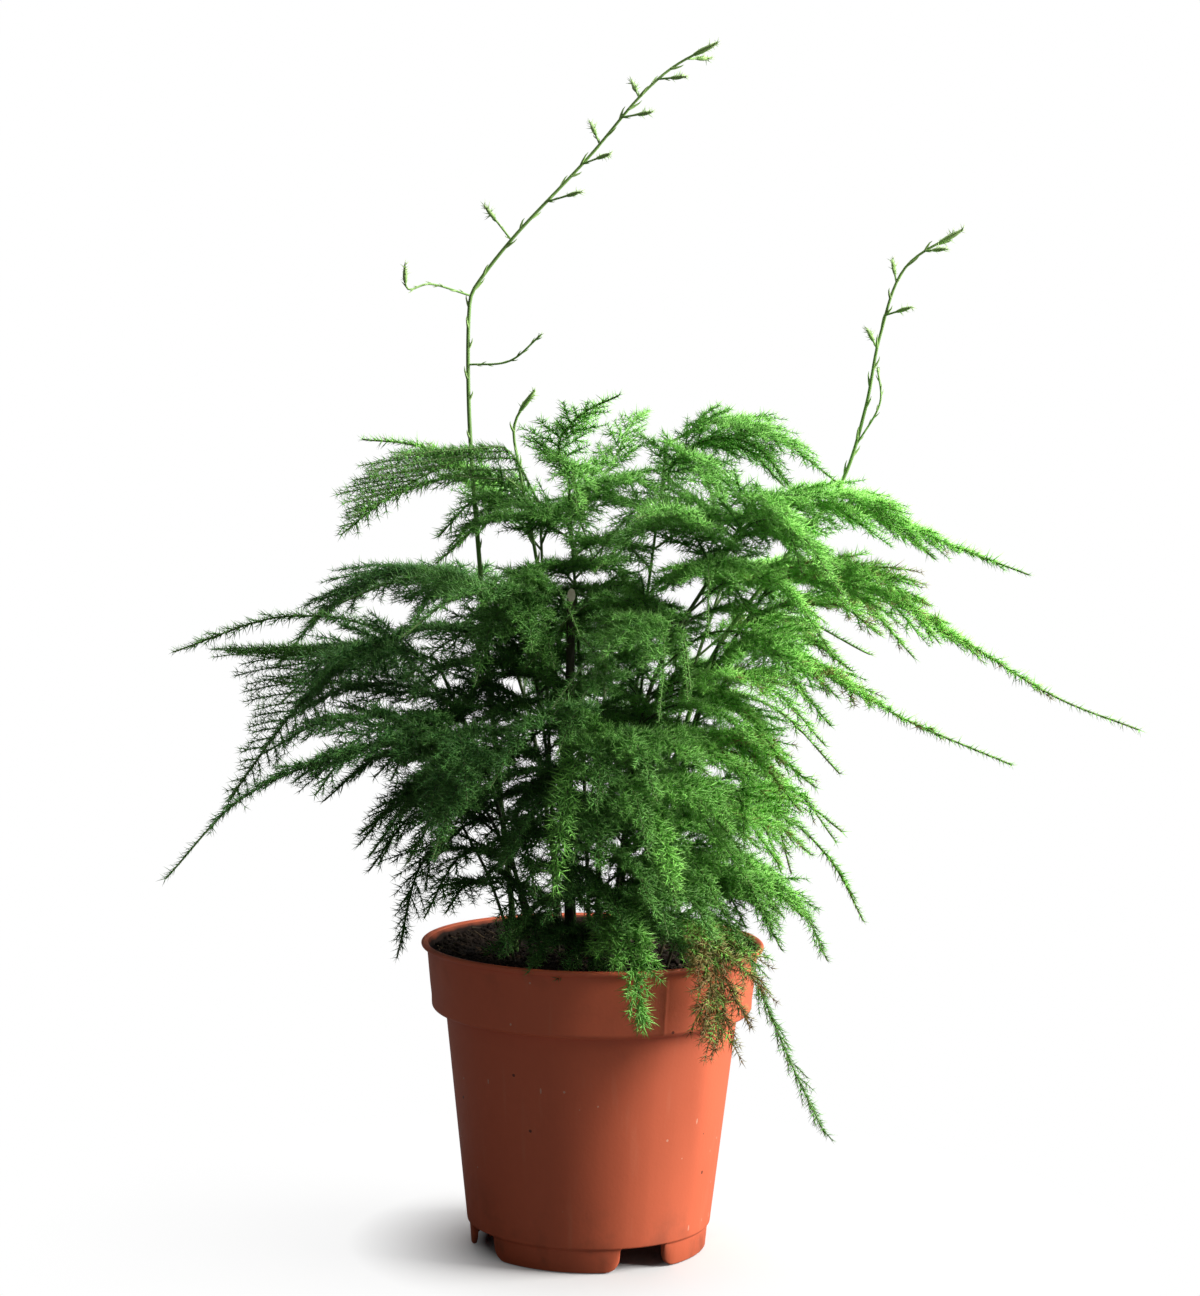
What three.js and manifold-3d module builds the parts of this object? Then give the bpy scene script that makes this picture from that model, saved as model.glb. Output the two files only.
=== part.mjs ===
// A feathery asparagus fern standing in a terracotta coloured plastic nursery pot.
// Millimetres, Z up, front of the pot towards -Y. The plant is laid out round the pot's axis
// and the whole group is moved at the end so that its bounding box stands centred on the origin.

import * as THREE from "three";
import { mergeVertices } from "three/addons/utils/BufferGeometryUtils.js";
import Module from "manifold-3d";

const wasm = await Module();
wasm.setup();

// Pot
const POT_HEIGHT = 107; // floor to the top of the lip
const RIM_RADIUS = 60; // outside of the lip
const BAND_HEIGHT = 24; // lip to the underside of the band
const BAND_TOP_RADIUS = RIM_RADIUS - 2;
const BAND_FOOT_RADIUS = RIM_RADIUS - 4;
const BODY_TOP_RADIUS = BAND_FOOT_RADIUS - 4.8;
const BODY_FOOT_RADIUS = BODY_TOP_RADIUS - 8.4;
const FOOT_HEIGHT = 8.8; // floor to the lower edge of the body
const FOOT_RADIUS = BODY_FOOT_RADIUS - 1.4;
const WALL = 1.2;
const LIP_HEIGHT = 2.8;
const POT_SIDES = 48;

// Openings round the foot and in the floor of the pot
const NOTCHES = 4;
const NOTCH_TURN = 27; // degrees from the front to the first notch
const NOTCH_WIDTH = 17;
const NOTCH_CORNER = 5; // rounding of the feet beside a notch
const DRAINS = 8;
const DRAIN_RADIUS = 4;
const DRAIN_RING = 27;

// Soil
const SOIL_DROP = 7; // below the lip at the wall
const SOIL_MOUND = 1; // rise of the middle above the edge
const SOIL_GAP = 0.3; // round the sides and under the soil
const PLANTED = 8; // depth of a stalk's foot in the soil

// Plant
const SPREAD = 1; // sideways size of the plant
const RISE = 1; // height of the plant above the soil
const STALK_RADIUS = 1.1;
const SHOOT_RADIUS = 1.2;
const TIP_RADIUS = 0.5;
const FROND_THICKNESS = 4;
const FROND_TIP = 1.6; // width left at a frond's tip
const STALK_GAP = 0.4; // round every stalk, in the soil and beside the fronds
const FROND_SECTIONS = 10;

const SOIL_LEVEL = POT_HEIGHT - SOIL_DROP + SOIL_MOUND;

const green = { color: 0x3f7d2c, roughness: 0.6, metalness: 0 };
const stem = { color: 0x4c6b2f, roughness: 0.55, metalness: 0 };
const young = { color: 0x86ab5c, roughness: 0.55, metalness: 0 };
const clay = { color: 0xd0623f, roughness: 0.45, metalness: 0 };
const earth = { color: 0x2b221b, roughness: 0.95, metalness: 0 };

// Every stalk: thickness against STALK_RADIUS, then its course from the soil upwards.
// Heights are above the soil; the first point is where the stalk leaves the soil.
const STALKS = {
  stalk_right_top: [1.1, [9, -6, 0], [18, -18, 95], [42, 0, 139], [52, 10, 156]],
  stalk_top_right: [0.9, [8, 13, 0], [15, 27, 100], [24, 31, 180]],
  stalk_right_mid: [1.1, [19, 1, 0], [37, 8, 90], [62, 10, 134]],
  stalk_right_low: [1.0, [15, -14, 0], [31, -16, 70], [42, -10, 112]],
  stalk_right_skirt: [0.8, [24, 9, 0], [38, 2, 36], [47, -3, 60]],
  stalk_rim_right: [0.8, [26, -13, 0], [33, -15, 18], [40, -18, 30]],
  stalk_front_rim: [0.8, [15, -28, 0], [14, -34, 18], [13, -40, 28]],
  stalk_front: [0.9, [1, -22, 0], [2, -28, 50], [0, -34, 84]],
  stalk_left: [1.0, [-21, -3, 0], [-36, -3, 60], [-56, 0, 104]],
  stalk_left_low: [0.9, [-17, -14, 0], [-34, -19, 48], [-56, -24, 80]],
  stalk_left_skirt: [0.8, [-27, -12, 0], [-36, -16, 30], [-45, -20, 48]],
  stalk_top_left: [0.9, [-13, 16, 0], [-17, 23, 80], [-21, 20, 158]],
  stalk_upper_left: [0.9, [-12, 5, 0], [-17, 5, 70], [-26, 1, 123]],
  stalk_top_centre: [0.9, [-1, 9, 0], [-6, 13, 100], [-11, 10, 168]],
  stalk_centre: [0.9, [6, 3, 0], [12, 2, 60], [16, -4, 100]],
  stalk_back_left: [1.0, [-11, 27, 0], [-24, 42, 80], [-42, 54, 128]],
  stalk_back_right: [1.0, [13, 27, 0], [30, 44, 80], [46, 58, 130]],
  stalk_back: [0.9, [1, 34, 0], [3, 50, 64], [3, 68, 112]],
};

// Every frond: the stalk it grows from, how far up that stalk, its width, then its course.
// A course is in the plant's own measure; frond_rim_* and frond_trail lie over the lip instead.
const FRONDS = {
  frond_right_upper: ["stalk_right_top", 1, 40, [72, 4, 160], [96, -6, 157], [118, -20, 148], [145, -30, 138]],
  frond_top_right: ["stalk_top_right", 1, 34, [40, 27, 188], [60, 18, 184], [82, 2, 168]],
  frond_right_mid: ["stalk_right_mid", 1, 38, [98, 0, 130], [126, -20, 114], [155, -40, 97], [180, -50, 88]],
  frond_right_thin: ["stalk_right_mid", 0.72, 18, [68, 34, 118], [99, 42, 105]],
  frond_right_low: ["stalk_right_low", 1, 34, [70, -22, 108], [101, -50, 91], [135, -70, 78]],
  frond_right_drop: ["stalk_right_low", 0.7, 26, [50, -28, 82], [74, -40, 66]],
  frond_right_skirt: ["stalk_right_skirt", 1, 26, [68, 0, 50], [84, 2, 34], [95, 2, 14]],
  frond_left_long: ["stalk_left", 1, 40, [-76, -4, 109], [-99, -15, 92], [-124, -32, 58]],
  frond_left_mid: ["stalk_left", 0.8, 34, [-68, 20, 104], [-84, 32, 114], [-114, 32, 116], [-150, 18, 104]],
  frond_left_low: ["stalk_left_low", 1, 30, [-82, -42, 76], [-116, -60, 62], [-140, -66, 36]],
  frond_left_skirt: ["stalk_left_skirt", 1, 20, [-58, -30, 38], [-66, -38, 6]],
  frond_left_drop: ["stalk_left", 0.5, 24, [-56, 14, 62], [-80, 16, 32]],
  frond_top_left: ["stalk_top_left", 1, 36, [-41, 4, 168], [-61, -16, 165], [-82, -36, 155]],
  frond_top_left_back: ["stalk_top_left", 0.9, 30, [-44, 38, 168], [-66, 44, 178], [-86, 46, 180]],
  frond_upper_left: ["stalk_upper_left", 1, 34, [-48, -4, 132], [-68, -6, 132], [-88, -8, 124]],
  frond_upper_front: ["stalk_upper_left", 0.86, 30, [-24, -26, 128], [-44, -46, 130], [-64, -62, 116]],
  frond_top_centre: ["stalk_top_centre", 1, 26, [-14, -8, 180], [-6, -26, 190], [6, -42, 196]],
  frond_top_back: ["stalk_top_centre", 0.9, 26, [4, 34, 172], [12, 54, 188], [18, 72, 192]],
  frond_centre_front: ["stalk_centre", 1, 36, [20, -34, 120], [22, -62, 114], [20, -88, 92]],
  frond_centre_right: ["stalk_centre", 0.8, 30, [42, 28, 92], [66, 42, 84], [90, 54, 60]],
  frond_centre_left: ["stalk_left_low", 0.75, 30, [-38, -42, 76], [-44, -62, 70], [-52, -82, 46]],
  frond_centre_back: ["stalk_centre", 0.62, 28, [0, 22, 82], [-14, 38, 92], [-30, 62, 84]],
  frond_mid_right: ["stalk_right_top", 0.58, 32, [38, -42, 104], [58, -60, 100], [74, -76, 84]],
  frond_upper_mid: ["stalk_right_top", 0.86, 30, [32, -22, 150], [22, -44, 158], [12, -64, 156]],
  frond_front_upper: ["stalk_front", 1, 30, [-4, -54, 82], [-10, -74, 62], [-13, -84, 36]],
  frond_front_lower: ["stalk_front", 0.68, 26, [14, -46, 60], [22, -66, 52], [26, -80, 36]],
  frond_back_left: ["stalk_back_left", 1, 40, [-70, 76, 132], [-100, 98, 118], [-124, 114, 92]],
  frond_back_right: ["stalk_back_right", 1, 40, [72, 80, 136], [100, 104, 122], [124, 122, 98]],
  frond_back_high: ["stalk_back", 1, 38, [0, 95, 118], [-4, 124, 106], [-8, 148, 80]],
  frond_back_skirt_left: ["stalk_back_left", 0.55, 28, [-48, 62, 62], [-68, 80, 46], [-82, 90, 18]],
  frond_back_skirt_right: ["stalk_back_right", 0.55, 28, [50, 66, 64], [66, 86, 46], [76, 98, 16]],
  frond_back_low: ["stalk_back", 0.5, 26, [4, 76, 42], [2, 92, 28], [0, 100, 4]],
};

// Fronds that hang over the lip: direction from the front in degrees, then distance out from
// the lip and height above the lip, so that they stay clear of the pot whatever its size.
const HANGING = {
  frond_rim_front: ["stalk_front_rim", 1, 20, [10, -4, 14], [11, 8, 6], [14, 12, -14]],
  frond_rim_right: ["stalk_front_rim", 0.6, 22, [34, -16, 14], [36, 5, 10], [36, 12, -22]],
  frond_rim_side: ["stalk_rim_right", 1, 22, [68, 4, 26], [68, 16, 18], [68, 26, 0]],
  frond_trail: ["stalk_rim_right", 0.75, 14, [54, 2, 8], [55, 10, -10], [58, 20, -34], [60, 31, -56]],
};

// Long bare young shoots, with short twigs: where each leaves the shoot, then its own points.
const SHOOTS = {
  shoot_tall: {
    course: [[-27, 5, 0], [-35, 9, 70], [-41, 11, 130], [-46, 11, 190], [-47, 10, 230],
      [-32, 8, 251], [-5, 5, 279], [12, 0, 299], [23, 0, 309], [38, -4, 317]],
    twigs: [
      [[-46, 11, 206], [-32, 6, 208], [-21, 0, 217]],
      [[-47, 10, 230], [-60, 2, 234], [-67, -3, 232], [-68, -4, 240]],
      [[-32, 8, 251], [-41, 1, 261]],
      [[-20, 7, 264], [-8, -2, 266]],
      [[-8, 5, 276], [2, -4, 279]],
      [[-2, 4, 283], [-5, 10, 291]],
      [[6, 2, 292], [16, -6, 293]],
      [[12, 0, 299], [9, 6, 305]],
      [[18, 0, 304], [27, -7, 305]],
      [[27, -1, 311], [36, 6, 313]],
    ],
  },
  shoot_right: {
    course: [[17, 18, 0], [38, 22, 98], [68, 27, 142], [86, 27, 167], [94, 25, 194],
      [98, 20, 219], [106, 15, 243], [125, 10, 256]],
    twigs: [
      [[90, 26, 180], [99, 24, 196], [98, 26, 208]],
      [[97, 21, 214], [94, 27, 222]],
      [[99, 19, 226], [108, 12, 229]],
      [[104, 16, 238], [102, 22, 246]],
      [[112, 13, 248], [119, 6, 249]],
    ],
  },
  shoot_bare: {
    course: [[-6, -5, 0], [-13, 6, 84], [-22, 13, 140], [-28, 11, 170], [-30, 9, 186], [-23, 4, 198]],
    twigs: [[[-26, 12, 162], [-33, 6, 168]]],
  },
};

const STUB = [[-8, -14, 0], [-9, -19, 60], [-9, -20, 126]]; // a stalk cut short

// --- geometry ---

function place([x, y, up]) {
  return new THREE.Vector3(x * SPREAD, y * SPREAD, SOIL_LEVEL + up * RISE);
}

// A point of a hanging frond from its direction, its distance from the lip and its height.
function overLip([turn, out, up]) {
  const a = THREE.MathUtils.degToRad(turn - 90);
  const r = RIM_RADIUS + out;
  return new THREE.Vector3(r * Math.cos(a), r * Math.sin(a), POT_HEIGHT + up);
}

function smooth(points, count) {
  return new THREE.CatmullRomCurve3(points, false, "centripetal").getSpacedPoints(count - 1);
}

function directions(path) {
  return path.map((p, i) => {
    const a = path[Math.max(i - 1, 0)];
    const b = path[Math.min(i + 1, path.length - 1)];
    return b.clone().sub(a).normalize();
  });
}

// Joins equal rings into one closed body; ring(i) gives the [across, over] offsets of ring i
// and across(dir) the sideways direction of a ring.
function sweep(path, ring, across) {
  const dirs = directions(path);
  const spots = [];
  const faces = [];
  const n = ring(0).length;
  path.forEach((p, i) => {
    const side = across(dirs[i]).normalize();
    const over = side.clone().cross(dirs[i]).normalize();
    for (const [s, o] of ring(i)) {
      spots.push(p.clone().addScaledVector(side, s).addScaledVector(over, o));
    }
  });
  for (let i = 0; i + 1 < path.length; i += 1) {
    for (let k = 0; k < n; k += 1) {
      const a = i * n + k;
      const b = i * n + ((k + 1) % n);
      faces.push(a, b, b + n, a, b + n, a + n);
    }
  }
  const last = (path.length - 1) * n;
  for (let k = 1; k + 1 < n; k += 1) {
    faces.push(0, k + 1, k);
    faces.push(last, last + k, last + k + 1);
  }
  const geometry = new THREE.BufferGeometry();
  geometry.setAttribute("position", new THREE.Float32BufferAttribute(spots.flatMap((v) => v.toArray()), 3));
  geometry.setIndex(faces);
  return facingOut(geometry);
}

function facingOut(geometry) {
  const p = geometry.attributes.position;
  const f = geometry.index.array;
  const [a, b, c] = [new THREE.Vector3(), new THREE.Vector3(), new THREE.Vector3()];
  let volume = 0;
  for (let i = 0; i < f.length; i += 3) {
    a.fromBufferAttribute(p, f[i]);
    b.fromBufferAttribute(p, f[i + 1]);
    c.fromBufferAttribute(p, f[i + 2]);
    volume += a.dot(b.cross(c));
  }
  if (volume < 0) {
    for (let i = 0; i < f.length; i += 3) {
      [f[i], f[i + 1]] = [f[i + 1], f[i]];
    }
  }
  return geometry;
}

function rod(path, radius, sides) {
  const run = path[path.length - 1].clone().sub(path[0]);
  const axis = Math.abs(run.x) > 0.8 * run.length() ? new THREE.Vector3(0, 1, 0) : new THREE.Vector3(1, 0, 0);
  const ring = (i) => Array.from({ length: sides }, (_, k) => {
    const a = (2 * Math.PI * k) / sides;
    return [radius(i / (path.length - 1)) * Math.cos(a), radius(i / (path.length - 1)) * Math.sin(a)];
  });
  return sweep(path, ring, (dir) => axis.clone().addScaledVector(dir, -axis.dot(dir)));
}

// A frond is a thin soft blade, level across, with a lobed outline.
function blade(path, width) {
  const last = path.length - 1;
  const ring = (i) => {
    const t = i / last;
    const lobe = i % 2 === 0 ? 0.82 : 1;
    const w = FROND_TIP / 2 + (width / 2) * lobe * Math.sin(Math.PI * t ** 0.75);
    const h = (FROND_THICKNESS / 2) * (0.4 + 0.6 * Math.sin(Math.PI * t));
    return [[-w, 0], [-w / 2, -h], [w / 2, -h], [w, 0], [w / 2, h], [-w / 2, h]];
  };
  return sweep(path, ring, (dir) => new THREE.Vector3(dir.y, -dir.x, 0));
}

function solid(geometry) {
  const bare = geometry.clone();
  bare.deleteAttribute("normal");
  bare.deleteAttribute("uv");
  const whole = mergeVertices(bare, 1e-4);
  const mesh = new wasm.Mesh({
    numProp: 3,
    vertProperties: Float32Array.from(whole.attributes.position.array),
    triVerts: Uint32Array.from(whole.index.array),
  });
  return new wasm.Manifold(mesh);
}

function geometryOf(manifold) {
  const mesh = manifold.getMesh();
  const geometry = new THREE.BufferGeometry();
  geometry.setAttribute("position", new THREE.BufferAttribute(Float32Array.from(mesh.vertProperties), 3));
  geometry.setIndex(new THREE.BufferAttribute(Uint32Array.from(mesh.triVerts), 1));
  return geometry;
}

const group = new THREE.Group();
group.name = "potted_fern";

function add(name, manifold, look) {
  const mesh = new THREE.Mesh(geometryOf(manifold), new THREE.MeshStandardMaterial(look));
  mesh.name = name;
  group.add(mesh);
}

// --- pot ---

// Radius of the body's outside at a height.
function bodyRadius(z) {
  const t = (z - FOOT_HEIGHT) / (POT_HEIGHT - BAND_HEIGHT - FOOT_HEIGHT);
  return BODY_FOOT_RADIUS + (BODY_TOP_RADIUS - BODY_FOOT_RADIUS) * t;
}

const bandFoot = POT_HEIGHT - BAND_HEIGHT;
const lipFoot = POT_HEIGHT - LIP_HEIGHT;
const floorTop = FOOT_HEIGHT + 0.2 + WALL;
const outside = [
  [FOOT_RADIUS - 0.6, 0],
  [FOOT_RADIUS, 0.8],
  [BODY_FOOT_RADIUS - 0.8, FOOT_HEIGHT - 0.6],
  [BODY_FOOT_RADIUS, FOOT_HEIGHT],
  [BODY_TOP_RADIUS, bandFoot],
  [BAND_FOOT_RADIUS - 1.6, bandFoot + 0.6],
  [BAND_FOOT_RADIUS - 0.5, bandFoot + 1.4],
  [BAND_FOOT_RADIUS, bandFoot + 3],
  [BAND_TOP_RADIUS, lipFoot],
  [RIM_RADIUS - 0.5, lipFoot + 0.4],
  [RIM_RADIUS, lipFoot + 1.2],
  [RIM_RADIUS - 0.4, POT_HEIGHT - 0.5],
  [RIM_RADIUS - 1.2, POT_HEIGHT],
];
const bandInside = [
  [BAND_TOP_RADIUS - WALL, POT_HEIGHT - 0.6],
  [BAND_FOOT_RADIUS - WALL, bandFoot + 3.6],
  [BAND_FOOT_RADIUS - WALL - 1, bandFoot + 2.2],
  [BODY_TOP_RADIUS - WALL, bandFoot + 1.2],
];
const floorRadius = bodyRadius(floorTop) - WALL;
const inside = [
  ...bandInside,
  [floorRadius, floorTop],
  [0, floorTop],
  [0, floorTop - WALL],
  [FOOT_RADIUS - WALL - 0.4, floorTop - WALL],
  [FOOT_RADIUS - WALL - 0.8, 0],
];
const vector = ([r, z]) => new THREE.Vector2(r, z);

// Lathe works round Y, so the profile is turned to stand on Z.
function turned(profile, sides) {
  const geometry = new THREE.LatheGeometry(profile.map(vector), sides);
  geometry.rotateX(Math.PI / 2);
  return solid(facingOut(mergeBare(geometry)));
}

function mergeBare(geometry) {
  const bare = geometry.clone();
  bare.deleteAttribute("normal");
  bare.deleteAttribute("uv");
  return mergeVertices(bare, 1e-4);
}

// A notch: straight sides above, flared below so that the feet beside it end in round corners.
function notch(turn) {
  const half = NOTCH_WIDTH / 2;
  const top = FOOT_HEIGHT - 0.4;
  const flare = [0, 30, 60, 90].map((deg) => {
    const a = THREE.MathUtils.degToRad(deg);
    return [NOTCH_CORNER * (1 - Math.sin(a)), NOTCH_CORNER * (1 - Math.cos(a))];
  });
  const right = flare.map(([out, up]) => [half + out, up]);
  const left = right.map(([x, z]) => [-x, z]).reverse();
  const outline = [
    [half + NOTCH_CORNER + 0.2, -1], ...right, [half, top - 1.5], [half - 1.5, top],
    [1.5 - half, top], [-half, top - 1.5], ...left, [-half - NOTCH_CORNER - 0.2, -1],
  ];
  const shape = new THREE.Shape(outline.map(([x, z]) => new THREE.Vector2(x, z)));
  const cut = new THREE.ExtrudeGeometry(shape, { depth: 24, bevelEnabled: false, steps: 1 });
  cut.rotateX(Math.PI / 2);
  cut.translate(0, -FOOT_RADIUS + 14, 0);
  cut.rotateZ(THREE.MathUtils.degToRad(turn));
  return solid(facingOut(mergeBare(cut)));
}

function drain(turn) {
  const hole = new THREE.CylinderGeometry(DRAIN_RADIUS, DRAIN_RADIUS, 4 * WALL, 12);
  hole.rotateX(Math.PI / 2);
  hole.translate(DRAIN_RING, 0, floorTop - WALL / 2);
  hole.rotateZ(THREE.MathUtils.degToRad(turn));
  return solid(facingOut(mergeBare(hole)));
}

let pot = turned([...outside, ...inside, outside[0]], POT_SIDES);
for (let i = 0; i < NOTCHES; i += 1) {
  pot = pot.subtract(notch(NOTCH_TURN + (360 * i) / NOTCHES));
}
for (let i = 0; i < DRAINS; i += 1) {
  pot = pot.subtract(drain((360 * (i + 0.5)) / DRAINS));
}
add("pot", pot, clay);

// --- stalks, shoots and the cut stub ---

// The planted foot is added below the first point of a course.
function planted(course) {
  const points = course.map(place);
  const foot = points[0].clone();
  foot.z -= PLANTED;
  return [foot, ...points];
}

const stalkPath = {};
const stems = {}; // solids of everything that stands in the soil
const rooms = {}; // the same, thicker by the clearance round them

for (const [name, [thick, ...course]] of Object.entries(STALKS)) {
  const points = planted(course);
  const path = smooth(points, 9);
  const radius = (t) => STALK_RADIUS * thick * (1 - 0.35 * t);
  stalkPath[name] = points;
  stems[name] = solid(rod(path, radius, 5));
  rooms[name] = solid(rod(lengthened(path, STALK_GAP), (t) => radius(t) + STALK_GAP / 0.8, 5));
}

// The point of a path that lies nearest to a place.
function nearestOn(path, spot) {
  const found = path.slice(1).map((end, i) => {
    return new THREE.Line3(path[i], end).closestPointToPoint(spot, true, new THREE.Vector3());
  });
  return found.reduce((a, b) => (a.distanceTo(spot) < b.distanceTo(spot) ? a : b));
}

// The same path a little longer at both ends.
function lengthened(path, by) {
  const longer = path.map((p) => p.clone());
  const dirs = directions(path);
  longer[0].addScaledVector(dirs[0], -by);
  longer[longer.length - 1].addScaledVector(dirs[dirs.length - 1], by);
  return longer;
}

for (const [name, { course, twigs }] of Object.entries(SHOOTS)) {
  const path = smooth(planted(course), 2 * course.length + 1);
  const radius = (t) => SHOOT_RADIUS + (TIP_RADIUS - SHOOT_RADIUS) * t;
  let body = solid(rod(path, radius, 5));
  let room = solid(rod(lengthened(path, STALK_GAP), (t) => radius(t) + STALK_GAP / 0.8, 5));
  for (const twig of twigs) {
    const points = twig.map(place);
    points[0] = nearestOn(path, points[0]);
    const branch = smooth(points, points.length + 1);
    body = body.add(solid(rod(branch, (t) => TIP_RADIUS + 0.5 * Math.sin(Math.PI * t), 4)));
    room = room.add(solid(rod(lengthened(branch, STALK_GAP), () => TIP_RADIUS + 0.5 + STALK_GAP / 0.7, 4)));
  }
  stems[name] = body;
  rooms[name] = room;
}

const stubPath = smooth(planted(STUB), 5);
stems.stub_cut = solid(rod(stubPath, () => 1.5 * STALK_RADIUS, 6));
rooms.stub_cut = solid(rod(lengthened(stubPath, STALK_GAP), () => 1.5 * STALK_RADIUS + STALK_GAP / 0.8, 6));

for (const [name, body] of Object.entries(stems)) {
  add(name, body, name.startsWith("shoot") ? young : stem);
}

// --- soil ---

const soilFoot = floorTop + SOIL_GAP;
const soilEdge = POT_HEIGHT - SOIL_DROP;
const bandSlope = (BAND_TOP_RADIUS - BAND_FOOT_RADIUS) / (BAND_HEIGHT - 4.2);
const edgeRadius = BAND_FOOT_RADIUS - WALL + (soilEdge - bandFoot - 3.6) * bandSlope;
let soil = turned([
  [0, soilFoot],
  [floorRadius - SOIL_GAP, soilFoot],
  [BODY_TOP_RADIUS - WALL - SOIL_GAP, bandFoot + 1.2 + SOIL_GAP],
  [BAND_FOOT_RADIUS - WALL - 1 - SOIL_GAP, bandFoot + 2.2 + SOIL_GAP],
  [BAND_FOOT_RADIUS - WALL - SOIL_GAP, bandFoot + 3.6 + SOIL_GAP],
  [edgeRadius - SOIL_GAP, soilEdge],
  [edgeRadius * 0.8, soilEdge + SOIL_MOUND * 0.3],
  [edgeRadius * 0.5, soilEdge + SOIL_MOUND * 0.8],
  [0, soilEdge + SOIL_MOUND],
], POT_SIDES);
for (const room of Object.values(rooms)) {
  soil = soil.subtract(room);
}
add("soil", soil, earth);

// --- fronds ---

// Starts a frond on the skin of its stalk and leads it through its own points.
function frondPath(stalk, along, points) {
  const course = new THREE.CatmullRomCurve3(stalkPath[stalk], false, "centripetal");
  const root = course.getPointAt(along);
  const out = points[0].clone().sub(root).normalize();
  root.addScaledVector(out, STALK_RADIUS * 0.6);
  return smooth([root, ...points], FROND_SECTIONS);
}

function frond(name, stalk, along, width, points) {
  let body = solid(blade(frondPath(stalk, along, points), width));
  for (const room of Object.values(rooms)) {
    body = body.subtract(room);
  }
  add(name, body, green);
}

for (const [name, [stalk, along, width, ...points]] of Object.entries(FRONDS)) {
  frond(name, stalk, along, width, points.map(place));
}
for (const [name, [stalk, along, width, ...points]] of Object.entries(HANGING)) {
  frond(name, stalk, along, width, points.map(overLip));
}

// The bounding box stands centred on the origin with its underside at zero.
const box = new THREE.Box3().setFromObject(group);
const middle = box.getCenter(new THREE.Vector3());
for (const mesh of group.children) {
  mesh.geometry.translate(-middle.x, -middle.y, -box.min.z);
}

export default group;
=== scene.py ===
"""A feathery asparagus fern in a terracotta coloured nursery pot, laid out as an add-on.

The plant is drawn as courses: every stalk, shoot and frond has a few points in millimetres
from the pot's axis, with heights above the soil. Sprays of twigs are grown along them, and
one node tree turns twigs into round stems with tufts of needles.
"""

import math
import random

import bmesh
import bpy
import numpy as np
from bpy.props import FloatProperty, FloatVectorProperty, IntProperty, PointerProperty
from mathutils import Matrix, Vector, noise


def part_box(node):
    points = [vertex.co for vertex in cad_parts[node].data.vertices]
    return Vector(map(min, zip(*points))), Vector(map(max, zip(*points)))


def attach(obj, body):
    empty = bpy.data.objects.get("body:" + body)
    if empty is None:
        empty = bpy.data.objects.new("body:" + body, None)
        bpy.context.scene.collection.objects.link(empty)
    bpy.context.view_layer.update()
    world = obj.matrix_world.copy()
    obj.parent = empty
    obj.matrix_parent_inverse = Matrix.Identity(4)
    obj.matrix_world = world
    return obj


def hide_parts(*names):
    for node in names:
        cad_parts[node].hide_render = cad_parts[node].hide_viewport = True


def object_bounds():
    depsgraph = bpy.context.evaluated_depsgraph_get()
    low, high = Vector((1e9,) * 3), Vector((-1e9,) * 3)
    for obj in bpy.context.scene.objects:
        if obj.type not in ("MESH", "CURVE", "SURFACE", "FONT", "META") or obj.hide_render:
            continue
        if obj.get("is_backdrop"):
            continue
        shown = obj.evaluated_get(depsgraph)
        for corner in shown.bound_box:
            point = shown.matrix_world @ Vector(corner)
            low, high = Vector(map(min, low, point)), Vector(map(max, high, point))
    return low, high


bl_info = {
    "name": "Potted Asparagus Fern",
    "version": (1, 0, 0),
    "blender": (4, 5, 0),
    "location": "View3D > Sidebar > Fern",
    "description": "Builds a feathery fern in a nursery pot around a fixed frame",
    "category": "Add Mesh",
}

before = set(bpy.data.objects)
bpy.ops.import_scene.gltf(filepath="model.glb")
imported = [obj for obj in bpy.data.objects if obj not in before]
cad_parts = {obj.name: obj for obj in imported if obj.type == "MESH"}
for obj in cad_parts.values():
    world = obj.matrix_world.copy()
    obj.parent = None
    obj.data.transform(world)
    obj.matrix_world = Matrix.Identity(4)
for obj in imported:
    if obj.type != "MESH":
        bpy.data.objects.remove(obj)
CAD_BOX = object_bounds()
MM = 0.001
POT_LOW, POT_HIGH = (Vector(corner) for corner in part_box("pot"))
SOIL_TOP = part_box("soil")[1][2]
AXIS = (POT_LOW + POT_HIGH) / 2
LIP_HEIGHT = POT_HIGH.z
LIP_RADIUS = (POT_HIGH.x - POT_LOW.x) / 2

# ---------------------------------------------------------------------------
# The plant's courses, in millimetres
# ---------------------------------------------------------------------------

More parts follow.
